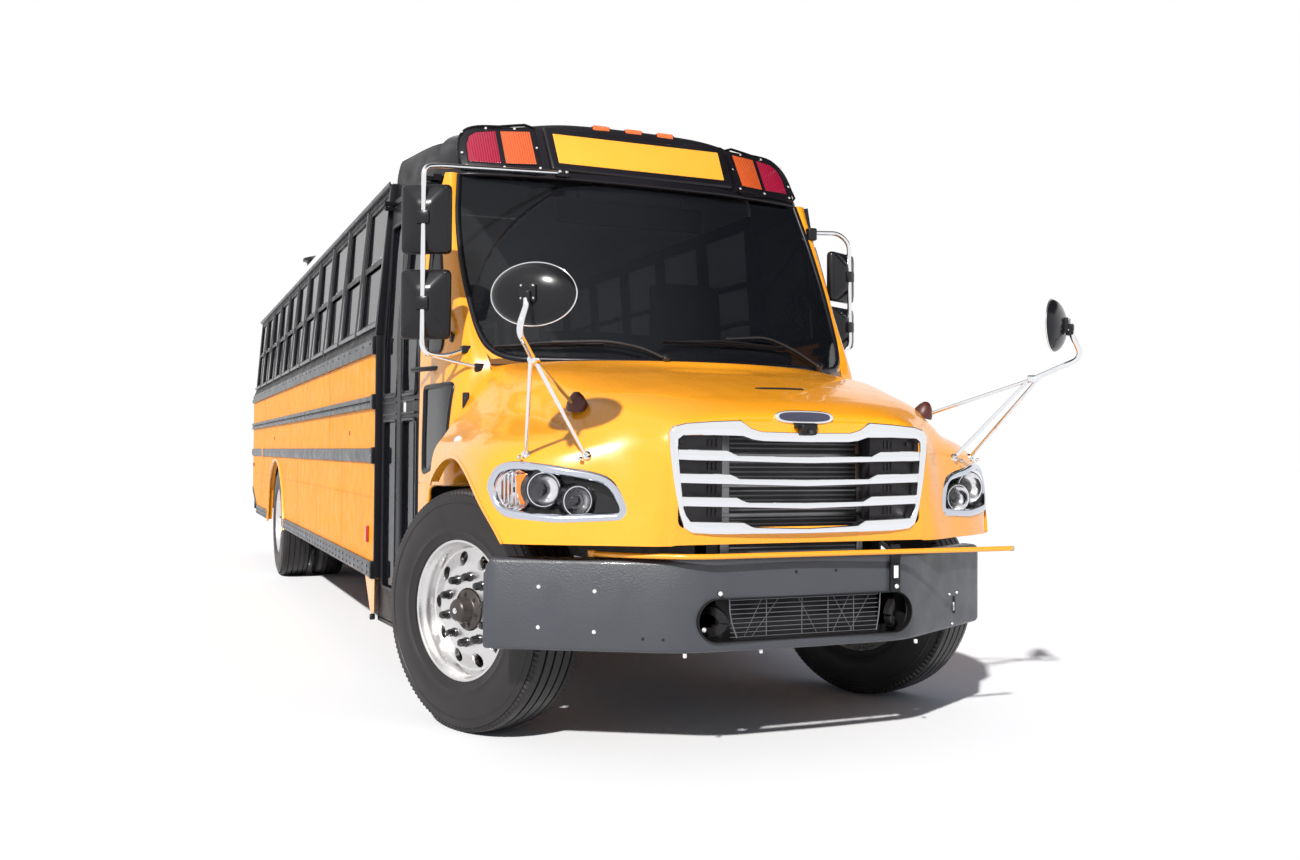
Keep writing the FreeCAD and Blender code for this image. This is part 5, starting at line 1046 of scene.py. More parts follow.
for pattern in (tyre, polished_wheel, front_covers, dual_wheel, rear_covers, front_hub, rear_hub, plug, drum):
    bpy.data.objects.remove(pattern, do_unlink=True)

# ------------ front bumper
# A pressed steel channel swept back at both ends and coated in a dark grey leather-grain finish. A slot in its
# middle shows a wire grid and the two tow hooks.
FACE_Y = -0.896
BUMPER_LINE = [(-1.178, -0.478), (-1.15, -0.512), (-0.5, -0.884), (0.0, -0.9), (0.5, -0.884), (1.15, -0.512),
               (1.178, -0.478)]
BUMPER_SECTION = [(-0.075, 0.355), (-0.02, 0.355), (-0.01, 0.352), (-0.003, 0.345), (0.0, 0.335), (0.0, 0.016),
                  (-0.004, 0.006), (-0.014, 0.0),
                  (-0.075, 0.0), (-0.075, 0.007), (-0.014, 0.007), (-0.007, 0.018), (-0.007, 0.333), (-0.016, 0.347),
                  (-0.075, 0.347)]


def bent_line(line, reach, steps=6):
    """A plan line with its corners turned into arcs."""
    return [Vector((x, y, 0.445)) for x, y, _ in rounded_path([(x, y, 0) for x, y in line], reach, steps)]


def slot_edge(radius, y):
    """The slot's outline with its round ends, at a depth."""
    return [(math.copysign(0.4, math.cos(a)) + 0.034 + radius * math.cos(a), y, 0.567 + radius * math.sin(a))
            for a in turns(32, 0.5)]


bumper = swept(bent_line(BUMPER_LINE, 0.11), BUMPER_SECTION, flat=(0, 0, 1))
cut(bumper, plate(slot_edge(0.085, -1.1), (0, 0.5, 0)))
for side in (-1, 1):
    cut(bumper, plate([(side * 1.3, -0.8, 0.815), (side * 1.3, -0.8, 0.735), (side * 1.172, -0.8, 0.74),
                       (side * 1.168, -0.8, 0.77),
                       (side * 1.154, -0.8, 0.79), (side * 1.13, -0.8, 0.803), (side * 1.125, -0.8, 0.815)],
                      (0, 0.5, 0)))
leather = coating("bumper_grain_coat", (0.046, 0.05, 0.06), 0.42, coat=0.15, drift=0.08, grain=0.75, grain_scale=150.0,
                  depth=0.002)
finished(bumper, "bumper_channel", "bus", "bumper_grey", leather, ["front_bumper"], smooth=50)

slot_lip = swept(slot_edge(0.084, FACE_Y + 0.012), [(-0.002, -0.016), (0.002, -0.016), (0.002, 0.016), (-0.002, 0.016)],
                 True, (0, -1, 0))
GRID_LOW, GRID_HIGH, GRID_START, GRID_END = 0.497, 0.64, -0.3, 0.372
WIRE_RADIUS, WIRE_PITCH = 0.0017, 0.0179
wires = [bar((GRID_START, FACE_Y + 0.03, z), (GRID_END, FACE_Y + 0.03, z), WIRE_RADIUS, 6)
         for z in [GRID_LOW + WIRE_PITCH * i for i in range(9)]]
wires += [bar((x, FACE_Y + 0.033, GRID_LOW), (x, FACE_Y + 0.033, GRID_HIGH), WIRE_RADIUS, 6)
          for x in (-0.14, 0.02, 0.14, 0.26)]
for start, end in ((-0.235, -0.16), (-0.2, -0.085), (0.09, 0.005), (0.255, 0.165), (0.165, 0.24), (0.245, 0.335)):
    wires.append(bar((start, FACE_Y + 0.036, GRID_LOW), (end, FACE_Y + 0.036, GRID_HIGH), 0.0014, 6))
for top, middle, foot in ((GRID_START - 0.004, GRID_START - 0.001, GRID_START + 0.03),
                          (GRID_END + 0.012, GRID_END + 0.008, GRID_END - 0.006)):
    wires.append(pipe([(top, FACE_Y + 0.03, GRID_HIGH + 0.006), (middle, FACE_Y + 0.028, 0.57),
                       (foot, FACE_Y + 0.03, GRID_LOW - 0.004)], 0.003, 0.05, 8))
wire_grey = coating("galvanised_wire", (0.2, 0.2, 0.22), 0.4, metal=0.8, drift=0.15, grain=0.1)
finished(wires, "bumper_wire_grid", "bus", "bumper_grey", wire_grey)

hooks = []
for side, x in ((-1, -0.375), (1, 0.452)):
    hooks.append(swept(rounded_path([(x + side * 0.005, -0.79, 0.598), (x - side * 0.012, -0.868, 0.606),
                                     (x - side * 0.045, -0.886, 0.56),
                                     (x - side * 0.02, -0.872, 0.52), (x + side * 0.03, -0.8, 0.515)], 0.04, 6),
                       [(-0.013, -0.017), (0.013, -0.017), (0.016, 0), (0.013, 0.017), (-0.013, 0.017), (-0.016, 0)],
                       flat=(0, 0, 1)))
    hooks.append(block((x - 0.05, -0.8, 0.5), (x + 0.05, -0.765, 0.64), 0.006))
    hooks.append(bar((x + 0.03, -0.8, 0.53), (x + 0.03, -0.83, 0.53), 0.012, 6, 0.001))
forged = coating("forged_black", (0.01, 0.009, 0.01), 0.3, grain=0.4, grain_scale=120.0, shine=0.3)
backing = block((-0.52, -0.8, 0.47), (0.56, -0.79, 0.68), 0.002)
finished(hooks + [slot_lip], "tow_hooks", "bus", "chassis_black", forged)
finished(backing, "bumper_slot_backing", "bus", "chassis_black", shadow_black)


def stud(place, facing, radius, height=0.006):
    """A round-headed bolt standing on a face."""
    return lathed([(0, AXIS), (0, radius), (height * 0.6, radius * 0.85), (height, radius * 0.4), (height, AXIS)],
                  place, facing, 14)


wing = Vector((-0.496, -0.868, 0)).normalized()
heads = [stud(place, facing, radius) for facing, radius, places in (
    ((0, -1, 0), 0.01, ((-0.357, FACE_Y - 0.001, 0.671), (0.437, FACE_Y - 0.012, 0.673),
                        (-0.412, FACE_Y + 0.028, 0.531))),
    (wing, 0.0085, ((-0.993, -0.602, 0.69), (-0.803, -0.711, 0.677), (-0.994, -0.602, 0.534), (-0.804, -0.71, 0.521))),
    ((-wing.x, wing.y, 0), 0.006, ((0.876, -0.669, 0.597), (0.943, -0.631, 0.598), (0.901, -0.655, 0.466))))
         for place in places]
heads += [bar((x, -0.87, 0.446), (x, -0.87, 0.43), 0.008, 6, 0.001) for x in (-0.494, -0.167, 0.557)]
bright_zinc = coating("bright_zinc", (0.82, 0.82, 0.8), 0.2, metal=0.5, drift=0.1)
finished(heads, "bumper_bolts", "bus", "chrome", bright_zinc)
holes = [bar((x, y - 0.001, z), (x, y + 0.003, z), 0.006, 12) for x, y, z in
         ((-0.027, -0.8995, 0.746), (0.156, -0.896, 0.746))]
holes += [bar(Vector(place) + wing * 0.0015, Vector(place) - wing * 0.003, 0.006, 12)
          for place in ((-0.64, -0.804, 0.5), (-0.572, -0.842, 0.498))]
WING_TURN = math.degrees(math.atan2(0.384, 0.672))
end_slot = block((-0.008, -0.002, -0.037), (0.008, 0.004, 0.037), 0.0)
end_slot.data.transform(set_at((0.918, -0.647, 0.548), WING_TURN))
finished(holes + [end_slot], "bumper_holes", "bus", "chassis_black", shadow_black)

# A rubber strap on the bumper's left half holds the crossing arm down while the bus drives.
strap = block((0.412, FACE_Y - 0.006, 0.65), (0.458, FACE_Y + 0.006, 0.842), 0.002)
strap_rim = block((0.418, FACE_Y - 0.01, 0.7), (0.452, FACE_Y - 0.005, 0.765), 0.003)
finished([strap, strap_rim], "arm_strap", "bus", "mirror_black", moulded)
pale = coating("strap_window", (0.8, 0.8, 0.8), 0.35, drift=0.05)
window = block((0.4245, FACE_Y - 0.0115, 0.707), (0.4455, FACE_Y - 0.009, 0.757), 0.001)
end_window = block((-0.006, -0.003, -0.02), (0.003, 0.001, 0.016), 0.0)
end_window.data.transform(set_at((0.912, -0.651, 0.543), WING_TURN))
finished([window, end_window], "strap_windows", "bus", "chrome", pale)

# ------------ crossing arm
# A yellow plastic tube with a grey end cap, hinged on the bumper's right wing. It swings out ahead, so that
# children walk where they are seen.
ARM_X, ARM_Y, ARM_Z = -0.8, -0.668, 0.818
ARM = [(0, 0), (0.1, -0.118), (0.32, -0.275), (1.785, -0.285)]
arm_path = [(ARM_X + x, ARM_Y + y, ARM_Z) for x, y in ARM]
arm = pipe(arm_path, 0.0105, 0.09, 14, 8)
knuckle = bar((ARM_X, ARM_Y, ARM_Z - 0.013), (ARM_X, ARM_Y, ARM_Z + 0.014), 0.0155, 24, 0.003)
finished([arm, knuckle], "crossing_arm_tube", "crossing_gate", "yellow_paint", yellow, ["crossing_arm"])
tip = Vector(arm_path[-1])
plug = bar(tip - Vector((0.006, 0, 0)), tip + Vector((0.004, 0, 0)), 0.0115, 16, 0.002)
finished(plug, "crossing_arm_end", "crossing_gate", "chrome",
         coating("grey_end_cap", (0.3, 0.31, 0.33), 0.4, drift=0.06))
finished(bar((ARM_X, ARM_Y, 0.792), (ARM_X, ARM_Y, 0.8035), 0.026, 28, 0.002), "crossing_arm_foot", "bus",
         "bumper_grey", moulded)

# ------------ crossview mirrors
# Two wide-angle mirrors stand ahead of the fenders: black domed shells with a bright rim and convex glass, each
# on a chromed tube with two legs and a thin stay bolted to the hood.
HEAD_HALF = (0.158, 0.05, 0.11)
head_place = set_at((1.152, -1.013, 1.763), 38)
head_shape = head_place @ Matrix.Diagonal((*HEAD_HALF, 1))
JUNCTION, STAY_FOOT = (1.12, -0.922, 1.54), (0.82, -0.54, 1.383)
LEG_FEET = [(1.044, -0.588, 1.197), (0.849, -0.729, 1.195)]
shell = lathed([(-0.08, AXIS), (-0.08, 0.9), (-0.06, 0.985), (0.0, 1.0), (0.12, 0.985), (0.35, 0.915), (0.6, 0.76),
                (0.82, 0.52), (0.95, 0.25), (0.985, AXIS)],
               (0, 0, 0), (0, -1, 0), 72)
shell.data.transform(head_shape)
cup = [block((-0.03, -0.064, -0.034), (0.03, -0.04, 0.03), 0.006, 3),
       block((-0.016, -0.082, -0.045), (0.016, -0.05, 0.004), 0.006, 3)]
for piece in cup:
    piece.data.transform(head_place)
boot = lathed([(0, AXIS), (0, 0.044), (0.01, 0.044), (0.028, 0.04), (0.05, 0.028), (0.066, 0.014), (0.07, AXIS)],
              STAY_FOOT, (0.18, -0.32, 0.93), 32)
mirror_shell = coating("mirror_shell_black", (0.008, 0.008, 0.01), 0.22, coat=0.05, grain=0.1, grain_scale=600.0,
                       shine=0.3)
both_sides([shell] + cup, "crossview_shells", "hood_body", "mirror_black", mirror_shell, ["crossview_mirrors"])
boot_brown = coating("boot_rubber", (0.075, 0.014, 0.01), 0.4, grain=0.3)
both_sides(boot, "crossview_boots", "hood_body", "mirror_black", boot_brown)
lens = lathed([(-0.05, AXIS), (-0.05, 0.94), (-0.12, 0.9), (-0.42, 0.55), (-0.52, AXIS)], (0, 0, 0), (0, -1, 0), 72)
lens.data.transform(head_shape)
mirror_glass = coating("mirror_glass", (0.55, 0.5, 0.46), 0.03, metal=1.0, drift=0.02, grain=0.0)
both_sides(lens, "crossview_glasses", "hood_body", "mirror_black", mirror_glass, smooth=60)
rim_line = [head_place @ Vector((HEAD_HALF[0] * 1.01 * math.cos(a), 0.002, HEAD_HALF[2] * 1.012 * math.sin(a)))
            for a in turns(64)]
bright = [swept(rim_line, ring_of(0.003, 8), True, tuple(head_place.to_3x3() @ Vector((0, 1, 0)))),
          pipe([head_place @ Vector((0.0, -0.072, -0.025)), (1.196, -1.075, 1.715), (1.232, -1.098, 1.625), JUNCTION],
               0.0115, 0.055, 14, 8),
          bar(JUNCTION, STAY_FOOT, 0.0075, 12)]
for foot, root in zip(LEG_FEET, ((1.14, -0.95, 1.555), (1.108, -0.905, 1.533))):
    bright.append(bar(root, foot, 0.008, 12))
    normal = (Vector(foot) - Vector((0.93, -0.3, 0.9))).normalized()
    foot = Vector(foot)
    beside = foot + Vector((0.03, -0.012, -0.012))
    bright += [bar(foot - normal * 0.006, foot + normal * 0.012, 0.018, 20, 0.003),
               bar(foot, foot + normal * 0.024, 0.009, 6, 0.001), bar(beside, beside + normal * 0.012, 0.008, 6, 0.001)]
across = Vector((0.016, -0.016, 0.0))
bright.append(bar(Vector(JUNCTION) - across, Vector(JUNCTION) + across, 0.0165, 20, 0.003))
screw = lathed([(0, AXIS), (0, 0.0048), (0.0025, 0.0035), (0.003, AXIS)], (0, 0, 0),
               tuple(head_place.to_3x3() @ Vector((0, -1, 0))), 10)
bright.append(repeated(screw, [head_place @ Vector((x, -0.0635, z)) for x in (-0.022, 0.022) for z in (-0.022, 0.022)]))
screw = lathed([(0, AXIS), (0, 0.006), (0.0035, 0.004), (0.004, AXIS)], (0, 0, 0), (0.18, -0.32, 0.93), 10)
bright.append(repeated(screw, [
    Vector(STAY_FOOT) + Vector((0.026 * math.cos(a), 0.024 * math.sin(a), 0.02 + 0.008 * math.sin(a)))
    for a in (0.4, 2.5, 4.6)]))
both_sides(bright, "crossview_chrome", "hood_body", "chrome", chrome, smooth=50)

# ------------ side mirrors
# Flat driving mirrors in black moulded housings, clamped one above the other to bent chromed tubes at both
# front corners of the cabin.
def mirror_head(mast, low, high, turn):
    """A housing behind its mast: a tub with a raised, faceted back, a clamp and the glass on its rear."""
    z, half = (low + high) / 2, (high - low) / 2
    tub = block((-0.117, 0.03, low), (0.117, 0.082, high), 0.024, 4)
    back = block((-0.117, -0.006, low), (0.117, 0.036, high), 0)
    for vertex in back.data.vertices:
        if vertex.co.y < 0:
            vertex.co.x, vertex.co.z = vertex.co.x * 0.34, z + (vertex.co.z - z) * 0.42
    rounded(back, 0.022, 5, angle_limit=math.radians(10))
    clamp = block((-0.03, -0.02, z - 0.03), (0.03, 0.012, z + 0.03), 0.006, 2)
    glass = block((-0.098, 0.079, low + 0.02), (0.098, 0.0835, high - 0.02), 0.001, 1)
    for piece in (tub, back, glass, clamp):
        piece.data.transform(set_at((*mast, 0), turn))
    return together([tub, back, clamp]), glass


RIGHT_MAST, LEFT_MAST = (-1.25, 0.36), (1.25, 0.76)
heads = [mirror_head(RIGHT_MAST, 2.11, 2.43, -28), mirror_head(RIGHT_MAST, 1.72, 2.04, -28),
         mirror_head(LEFT_MAST, 2.07, 2.35, 26), mirror_head(LEFT_MAST, 1.81, 2.04, 26)]
brackets = [block((1.0, 0.775, 2.405), (1.055, 0.87, 2.475), 0.01, 3),
            block((-1.055, 0.4, 1.662), (-1.01, 0.45, 1.7), 0.006),
            block((-1.01, 0.335, 1.575), (-0.965, 0.375, 1.615), 0.006),
            block((-0.5, 0.712, 2.604), (-0.435, 0.765, 2.646), 0.006),
            block((1.06, 0.76, 1.76), (1.11, 0.84, 1.805), 0.008)]
brackets.append(bar((-1.1, 0.6, 1.606), (-1.205, 0.79, 1.604), 0.012, 16, 0.003))
finished([tub for tub, _ in heads] + brackets, "mirror_housings", "bus", "mirror_black", mirror_shell, ["side_mirrors"],
         smooth=35)
finished([glass for _, glass in heads], "mirror_glasses", "bus", "mirror_black", mirror_glass)
tubes = [pipe([(-1.035, 0.425, 1.682), (-1.15, 0.372, 1.64), (-1.25, 0.36, 1.655), (-1.25, 0.36, 2.502),
               (-1.18, 0.4, 2.522), (-0.47, 0.735, 2.627)], 0.0115, 0.05, 16, 8),
         pipe([(-0.985, 0.352, 1.596), (-1.12, 0.368, 1.622), (-1.2, 0.366, 1.64)], 0.0085, 0.03, 12),
         pipe([(1.03, 0.815, 2.452), (1.19, 0.775, 2.455), (1.25, 0.76, 2.4), (1.258, 0.758, 1.785), (1.1, 0.8, 1.785)],
              0.0125, 0.07, 16, 8)]
bolts = [stud(place, (0, -1, 0.4), 0.009, 0.01) for place in ((-0.485, 0.708, 2.626), (-0.45, 0.708, 2.626))]
finished(tubes + bolts, "mirror_tubes", "bus", "chrome", chrome, smooth=50)

# ------------ rub rails, drip rails and skirt
# Rolled steel rub rails are bolted along both sides and end in cast caps; a gutter runs over the windows. The rails
# are satin black and the skirt rail carries two rows of bolts.
rail_black = coating("rail_black_enamel", (0.009, 0.011, 0.016), 0.28, coat=0.04, grain=0.1, grain_scale=60.0,
                     shine=0.2)
bolt_steel = coating("zinc_bolt", (0.3, 0.3, 0.31), 0.35, metal=0.9, grain=0.1)
WALL_FRONT, WALL_REAR, SIDE_X, RAIL_OUT = 1.699, 9.776, 1.219, 0.018
BOLT_PITCH, SLOT_PITCH, BOLT_HEIGHTS = 0.148, 0.242, (0.524, 0.562)
RAIL_SHAPES = {  # share of the rail's depth, share of its height
    "round": [(0, 0), (0.55, 0.03), (0.88, 0.18), (1, 0.42), (1, 0.58), (0.88, 0.82), (0.55, 0.97), (0, 1)],
    "ribbed": [(0, 0), (0.8, 0.03), (1, 0.12), (1, 0.4), (0.35, 0.47), (0.35, 0.53), (1, 0.6), (1, 0.88), (0.8, 0.97),
               (0, 1)],
    "stepped": [(0, 0), (0.85, 0.04), (1, 0.12), (1, 0.46), (0.45, 0.54), (0.45, 0.93), (0.1, 1), (-0.8, 1)],
    "flat": [(0, 0), (1, 0), (1, 0.9), (0.75, 1), (0, 1)]}
RAILS = [("stepped", 1.752, 1.842, WALL_FRONT, WALL_REAR), ("ribbed", 1.446, 1.519, WALL_FRONT, WALL_REAR),
         ("round", 1.142, 1.223, WALL_FRONT, WALL_REAR), ("flat", 0.505, 0.591, WALL_FRONT, 6.297),
         ("flat", 0.505, 0.591, 7.877, 9.1)]
bars = []
for shape, low, high, start, stop in RAILS:
    outline = [(SIDE_X + out * RAIL_OUT, start, low + share * (high - low)) for out, share in RAIL_SHAPES[shape]]
    bars.append(plate(outline, (0, stop - start, 0)))
gutter = [(1.124, 2.688), (1.148, 2.69), (1.158, 2.696), (1.158, 2.716), (1.152, 2.716), (1.148, 2.7), (1.124, 2.7)]
bars.append(plate([(x, WALL_FRONT, z) for x, z in gutter], (0, WALL_REAR - WALL_FRONT, 0)))
both_sides(bars, "side_rails", "bus", "black_paint", rail_black, ["rub_rails"], smooth=35)
caps = [block((1.205, 1.688, low - 0.006), (1.2405, 1.75, high + 0.006), 0.008, 3) for _, low, high, *_ in RAILS[:4]]
caps.append(block((1.15, 1.676, 0.505), (1.224, 1.7, 1.86), 0.004))
caps.append(plate([(1.15, 1.676, 1.85), (1.226, 1.676, 1.85), (1.152, 1.676, 2.7), (1.09, 1.676, 2.7)], (0, 0.024, 0),
                  0.003))
caps.append(plate([(1.2195, 9.12, 0.52), (1.2195, 9.772, 0.738), (1.2195, 9.772, 0.79), (1.2195, 9.12, 0.56)],
                  (0.004, 0, 0)))
both_sides(caps, "rail_end_caps", "bus", "black_paint", black)
bolt_row = [(1.2372, first + BOLT_PITCH * n, z) for first, count in ((1.84, 30), (8.02, 8)) for n in range(count)
            for z in BOLT_HEIGHTS]
skirt_bolts = repeated(bar((0, 0, 0), (0.005, 0, 0), 0.0075, 6, 0.001), bolt_row)
cap_bolts = repeated(bar((0, 0, 0), (0.004, 0, 0), 0.007, 12, 0.001),
                     [(1.2403, 1.72, (low + high) / 2) for _, low, high, *_ in RAILS[:4]])
both_sides([skirt_bolts, cap_bolts], "rail_bolts", "bus", "chrome", bolt_steel)
slot_row = [(x, 1.86 + SLOT_PITCH * n, z) for x, z in ((1.2365, 1.482), (1.2275, 1.815)) for n in range(33)]
slots = repeated(block((0, -0.017, -0.004), (0.0012, 0.017, 0.004), 0), slot_row)
both_sides(slots, "rail_slots", "bus", "black_paint", shadow_black)

# ------------ panel seams, rivets and arch lip
# Steel side panels overlap at seams and are held by rows of small domed rivets. The rear wheel opening has a
# rolled lip, a strip hangs ahead of the door step, and red markers and reflectors sit on the skin.
SKIRT_SEAMS, PANEL_SEAMS, SEAM_IN, SEAM_OUT, RIVET_STEP = (2.9, 4.12, 5.35, 8.6), (3.5, 5.9, 8.3), 1.2188, 1.22, 0.085
seams = [block((SEAM_IN, start, 0.946), (SEAM_OUT, stop, 0.9475), 0)
         for start, stop in ((WALL_FRONT, 6.44), (7.74, WALL_REAR))]
seams += [block((SEAM_IN, y, low), (SEAM_OUT, y + 0.0015, high), 0)
          for low, high, row in ((0.6, 1.142, SKIRT_SEAMS), (1.223, 1.752, PANEL_SEAMS)) for y in row]
seam_dark = coating("seam_shadow", (0.42, 0.13, 0.01), 0.6)
both_sides(seams, "panel_seams", "bus", "yellow_paint", seam_dark)


def rivets(places):
    """Small domed rivets on the side wall."""
    return mirrored(repeated(bar((-0.001, 0, 0), (0.0016, 0, 0), 0.0042, 8, 0.0008), places))


rivet_row = [(SIDE_X, first + 0.102 * n, 0.958) for first, count in ((1.76, 46), (7.8, 20)) for n in range(count)]
rivet_row += [(SIDE_X, y + 0.014, 0.62 + RIVET_STEP * n) for y in SKIRT_SEAMS for n in range(6)]
rivet_row += [(SIDE_X, y + 0.014, z) for y in PANEL_SEAMS for z in [1.25 + RIVET_STEP * n for n in range(6)]
              if not 1.43 < z < 1.53]
finished(rivets(rivet_row), "panel_rivets", "bus", "yellow_paint", shell_paint)
lean = -0.084 / 0.865  # the wall's inward lean over its height above the belt
finished(rivets([(1.216 + lean * 0.055, 1.8 + 0.121 * n, 1.888) for n in range(66)]), "belt_rivets", "bus",
         "black_paint", black)
ARCH_HALF, ARCH_RISE, ARCH_TOP = 0.64, 0.29, 1.12
sweep_radius = (ARCH_HALF ** 2 + ARCH_RISE ** 2) / (2 * ARCH_RISE)
sweep = math.asin(ARCH_HALF / sweep_radius)
lip = [(-0.775, 0.485), (-ARCH_HALF, 0.83)]
lip += [(sweep_radius * math.sin(sweep * n / 16), ARCH_TOP - sweep_radius * (1 - math.cos(sweep * n / 16)))
        for n in range(-15, 16)]
lip += [(ARCH_HALF, 0.83), (0.775, 0.485)]
lip = [(1.2185, REAR_AXLE + y, z) for y, z in lip]
arch_lip = swept(lip, [(-0.01, -0.004), (-0.01, 0.01), (-0.004, 0.018), (0.01, 0.018), (0.016, 0.01), (0.016, 0.0),
                       (0.006, -0.004)], flat=(1, 0, 0))
both_sides(arch_lip, "rear_arch_lips", "bus", "yellow_paint", yellow)
strap = plate([(1.2195, 1.96, 0.5), (1.2195, 1.668, 0.5), (1.2195, 1.672, 0.32), (1.2195, 1.742, 0.3),
               (1.2195, 1.8, 0.33)], (0.003, 0, 0))
splash = [strap, block((1.236, 8.382, 1.128), (1.24, 8.43, 1.232), 0.001)]
both_sides(splash, "splash_strips", "bus", "yellow_paint", yellow)
both_sides(bar((1.205, 1.735, 0.286), (1.232, 1.735, 0.286), 0.017, 16, 0.003), "splash_bolts", "bus", "mirror_black",
           moulded)
marker_red = coating("marker_lens_red", (0.36, 0.012, 0.01), 0.18, coat=0.6, drift=0.1, grain=0.3, grain_scale=90.0)
markers = [block((1.218, 1.868, 0.69), (1.236, 1.906, 0.785), 0.008, 3),
           block((1.218, 9.6, 1.02), (1.232, 9.66, 1.06), 0.006, 3)]
both_sides(markers, "side_marker_lenses", "bus", "lamp_red", marker_red)
amber_marks = repeated(block((0, -0.008, -0.014), (0.006, 0.008, 0.014), 0.002),
                       [(SIDE_X, 2.598, 1.317), (SIDE_X, 7.28, 1.324)])
both_sides(amber_marks, "side_reflectors", "bus", "lamp_red", marker_red)

# ------------ side window trim
# Each window is a split aluminium sash in a black frame, with a paler edge on its post. Two bright latches hold
# its top sash.
def wall_x(height):
    """The wall's outer face at a height over the belt."""
    return SIDE_X + lean * max(0.0, height - BELT_Z)


post_grey = coating("window_post_edge", (0.07, 0.072, 0.078), 0.35, coat=0.2, grain=0.1)
WINDOW_PITCH = 0.727
posts, latches, beads = [], [], []
for number in range(11):
    y = 1.762 + WINDOW_PITCH * number
    posts.append(swept([(wall_x(1.9) + 0.0005, y - 0.018, 1.9), (wall_x(2.68) + 0.0005, y - 0.018, 2.68)],
                       [(-0.012, -0.004), (-0.012, 0.008), (0.004, 0.008), (0.004, -0.004)], flat=(1, 0, 0)))
    posts.append(swept([(wall_x(1.918), y - 0.004, 1.918), (wall_x(1.918), y + 0.644, 1.918)],
                       [(-0.01, -0.004), (-0.01, 0.007), (0.01, 0.003), (0.01, -0.004)], flat=(1, 0, 0)))
    beads.append(swept([(wall_x(2.295) - 0.016, y + 0.02, 2.295), (wall_x(2.295) - 0.016, y + 0.62, 2.295)],
                       bead(0.016, 0.016, -0.008, 0.01), flat=(1, 0, 0)))
    for share in (0.28, 0.72):
        x, middle = wall_x(2.318), y + 0.64 * share
        latches.append(block((x - 0.032, middle - 0.016, 2.306), (x - 0.012, middle + 0.016, 2.326), 0.003))
both_sides(posts, "window_post_edges", "bus", "black_paint", post_grey)
both_sides(beads, "sash_bars", "bus", "black_paint", black)
both_sides(latches, "sash_latches", "bus", "chrome", bolt_steel)

# ------------ entrance door trim
# Each leaf is a black aluminium frame with an upper and a lower glass in rubber seals, a middle rail, and a soft
# rubber edge where the two leaves meet or close.
def leaf_trim(inner, outer, meeting):
    """Seals and rails of one leaf, and its soft edge. inner and outer are its (x, y) edges at the foot; meeting is
    the share of its width at which the soft edge stands."""
    pieces = []

    def at(share, height):
        x = inner[0] + (outer[0] - inner[0]) * share + 0.052 * max(0.0, height - 1.8) / 0.8
        return (x, inner[1] + (outer[1] - inner[1]) * share, height)

    for low, high in ((0.47, 1.372), (1.5, 2.44)):
        path = rounded_path([at(0.5, low), at(0.86, low), at(0.86, high), at(0.14, high), at(0.14, low),
                             at(0.5, low)], 0.03, 4)[:-1]
        pieces.append(swept(path, bead(0.01, 0.006, -0.002, 0.006), True, (-1, 0.1, 0)))
    for z in (1.405, 1.468):
        pieces.append(swept([at(0.12, z), at(0.88, z)], bead(0.004, 0.004, -0.002, 0.006), flat=(-1, 0.1, 0)))
    edge = swept([at(meeting, z) for z in (0.3, 1.8, 2.57)], bead(0.008, 0.006, -0.003, 0.008), flat=(-1, 0.1, 0))
    return together(pieces), edge


# The soft edge is black rubber coloured dark grey. The paler colour is a painted highlight along the meeting edge.
door_edge_sheen_grey = coating("door_edge_rubber_painted_sheen", (0.045, 0.047, 0.052), 0.3, coat=0.2)
for leaf, inner, outer, meeting in (("front", (-1.168, 1.275), (-1.1515, 0.911), 0.02),
                                    ("rear", (-1.194, 1.657), (-1.169, 1.293), 0.98)):
    seals, edge = leaf_trim(inner, outer, meeting)
    finished(seals, leaf + "_leaf_seals", "door_" + leaf, "black_paint", gasket_rubber)
    finished(edge, leaf + "_leaf_edge", "door_" + leaf, "black_paint", door_edge_sheen_grey)
blank_white = coating("blank_white_plate", (0.78, 0.78, 0.76), 0.4, drift=0.03)
finished(block((-1.1645, 1.15, 1.41), (-1.16, 1.195, 1.466), 0.001), "blank_door_plate", "door_front", "roof_white",
         blank_white)

# ------------ rear wall
# The rear wall carries tail, stop and reversing lamps in black rims, a swing-out emergency door with a long
# handle, and a blank yellow plate over it.
REAR_Y = 9.802
rim_parts, red_parts, amber_parts, clear_parts = [], [], [], []
for x, z, radius, kind in ((1.02, 1.365, 0.085, red_parts), (1.02, 1.06, 0.06, red_parts),
                           (0.8, 1.365, 0.06, amber_parts), (0.8, 1.06, 0.055, clear_parts)):
    rim_parts.append(bar((x, REAR_Y - 0.004, z), (x, REAR_Y + 0.008, z), radius + 0.012, 32, 0.003))
    kind.append(lathed([(-0.002, 0.0), (-0.002, radius), (0.01, radius), (0.018, radius * 0.8), (0.022, 0.0)],
                       (x, REAR_Y, z), (0, 1, 0), 32))
for x, kind in ((1.02, red_parts), (0.86, amber_parts)):
    rim_parts.append(block((x - 0.074, REAR_Y - 0.004, 2.69), (x + 0.074, REAR_Y + 0.01, 2.84), 0.012, 3))
    kind.append(block((x - 0.06, REAR_Y, 2.704), (x + 0.06, REAR_Y + 0.024, 2.826), 0.02, 3))
red_parts.append(block((0.1, REAR_Y, 2.925), (0.18, REAR_Y + 0.022, 2.955), 0.008, 2))
both_sides(rim_parts, "rear_lamp_rims", "bus", "black_paint", moulded)
both_sides(red_parts, "rear_lamps_red", "bus", "lamp_red", marker_red)
both_sides(amber_parts, "rear_lamps_amber", "bus", "lamp_red", amber_lens)
both_sides(clear_parts, "rear_reversing_lamps", "bus", "chrome",
           coating("clear_lamp_lens", (0.62, 0.62, 0.62), 0.12, coat=0.4, drift=0.05))
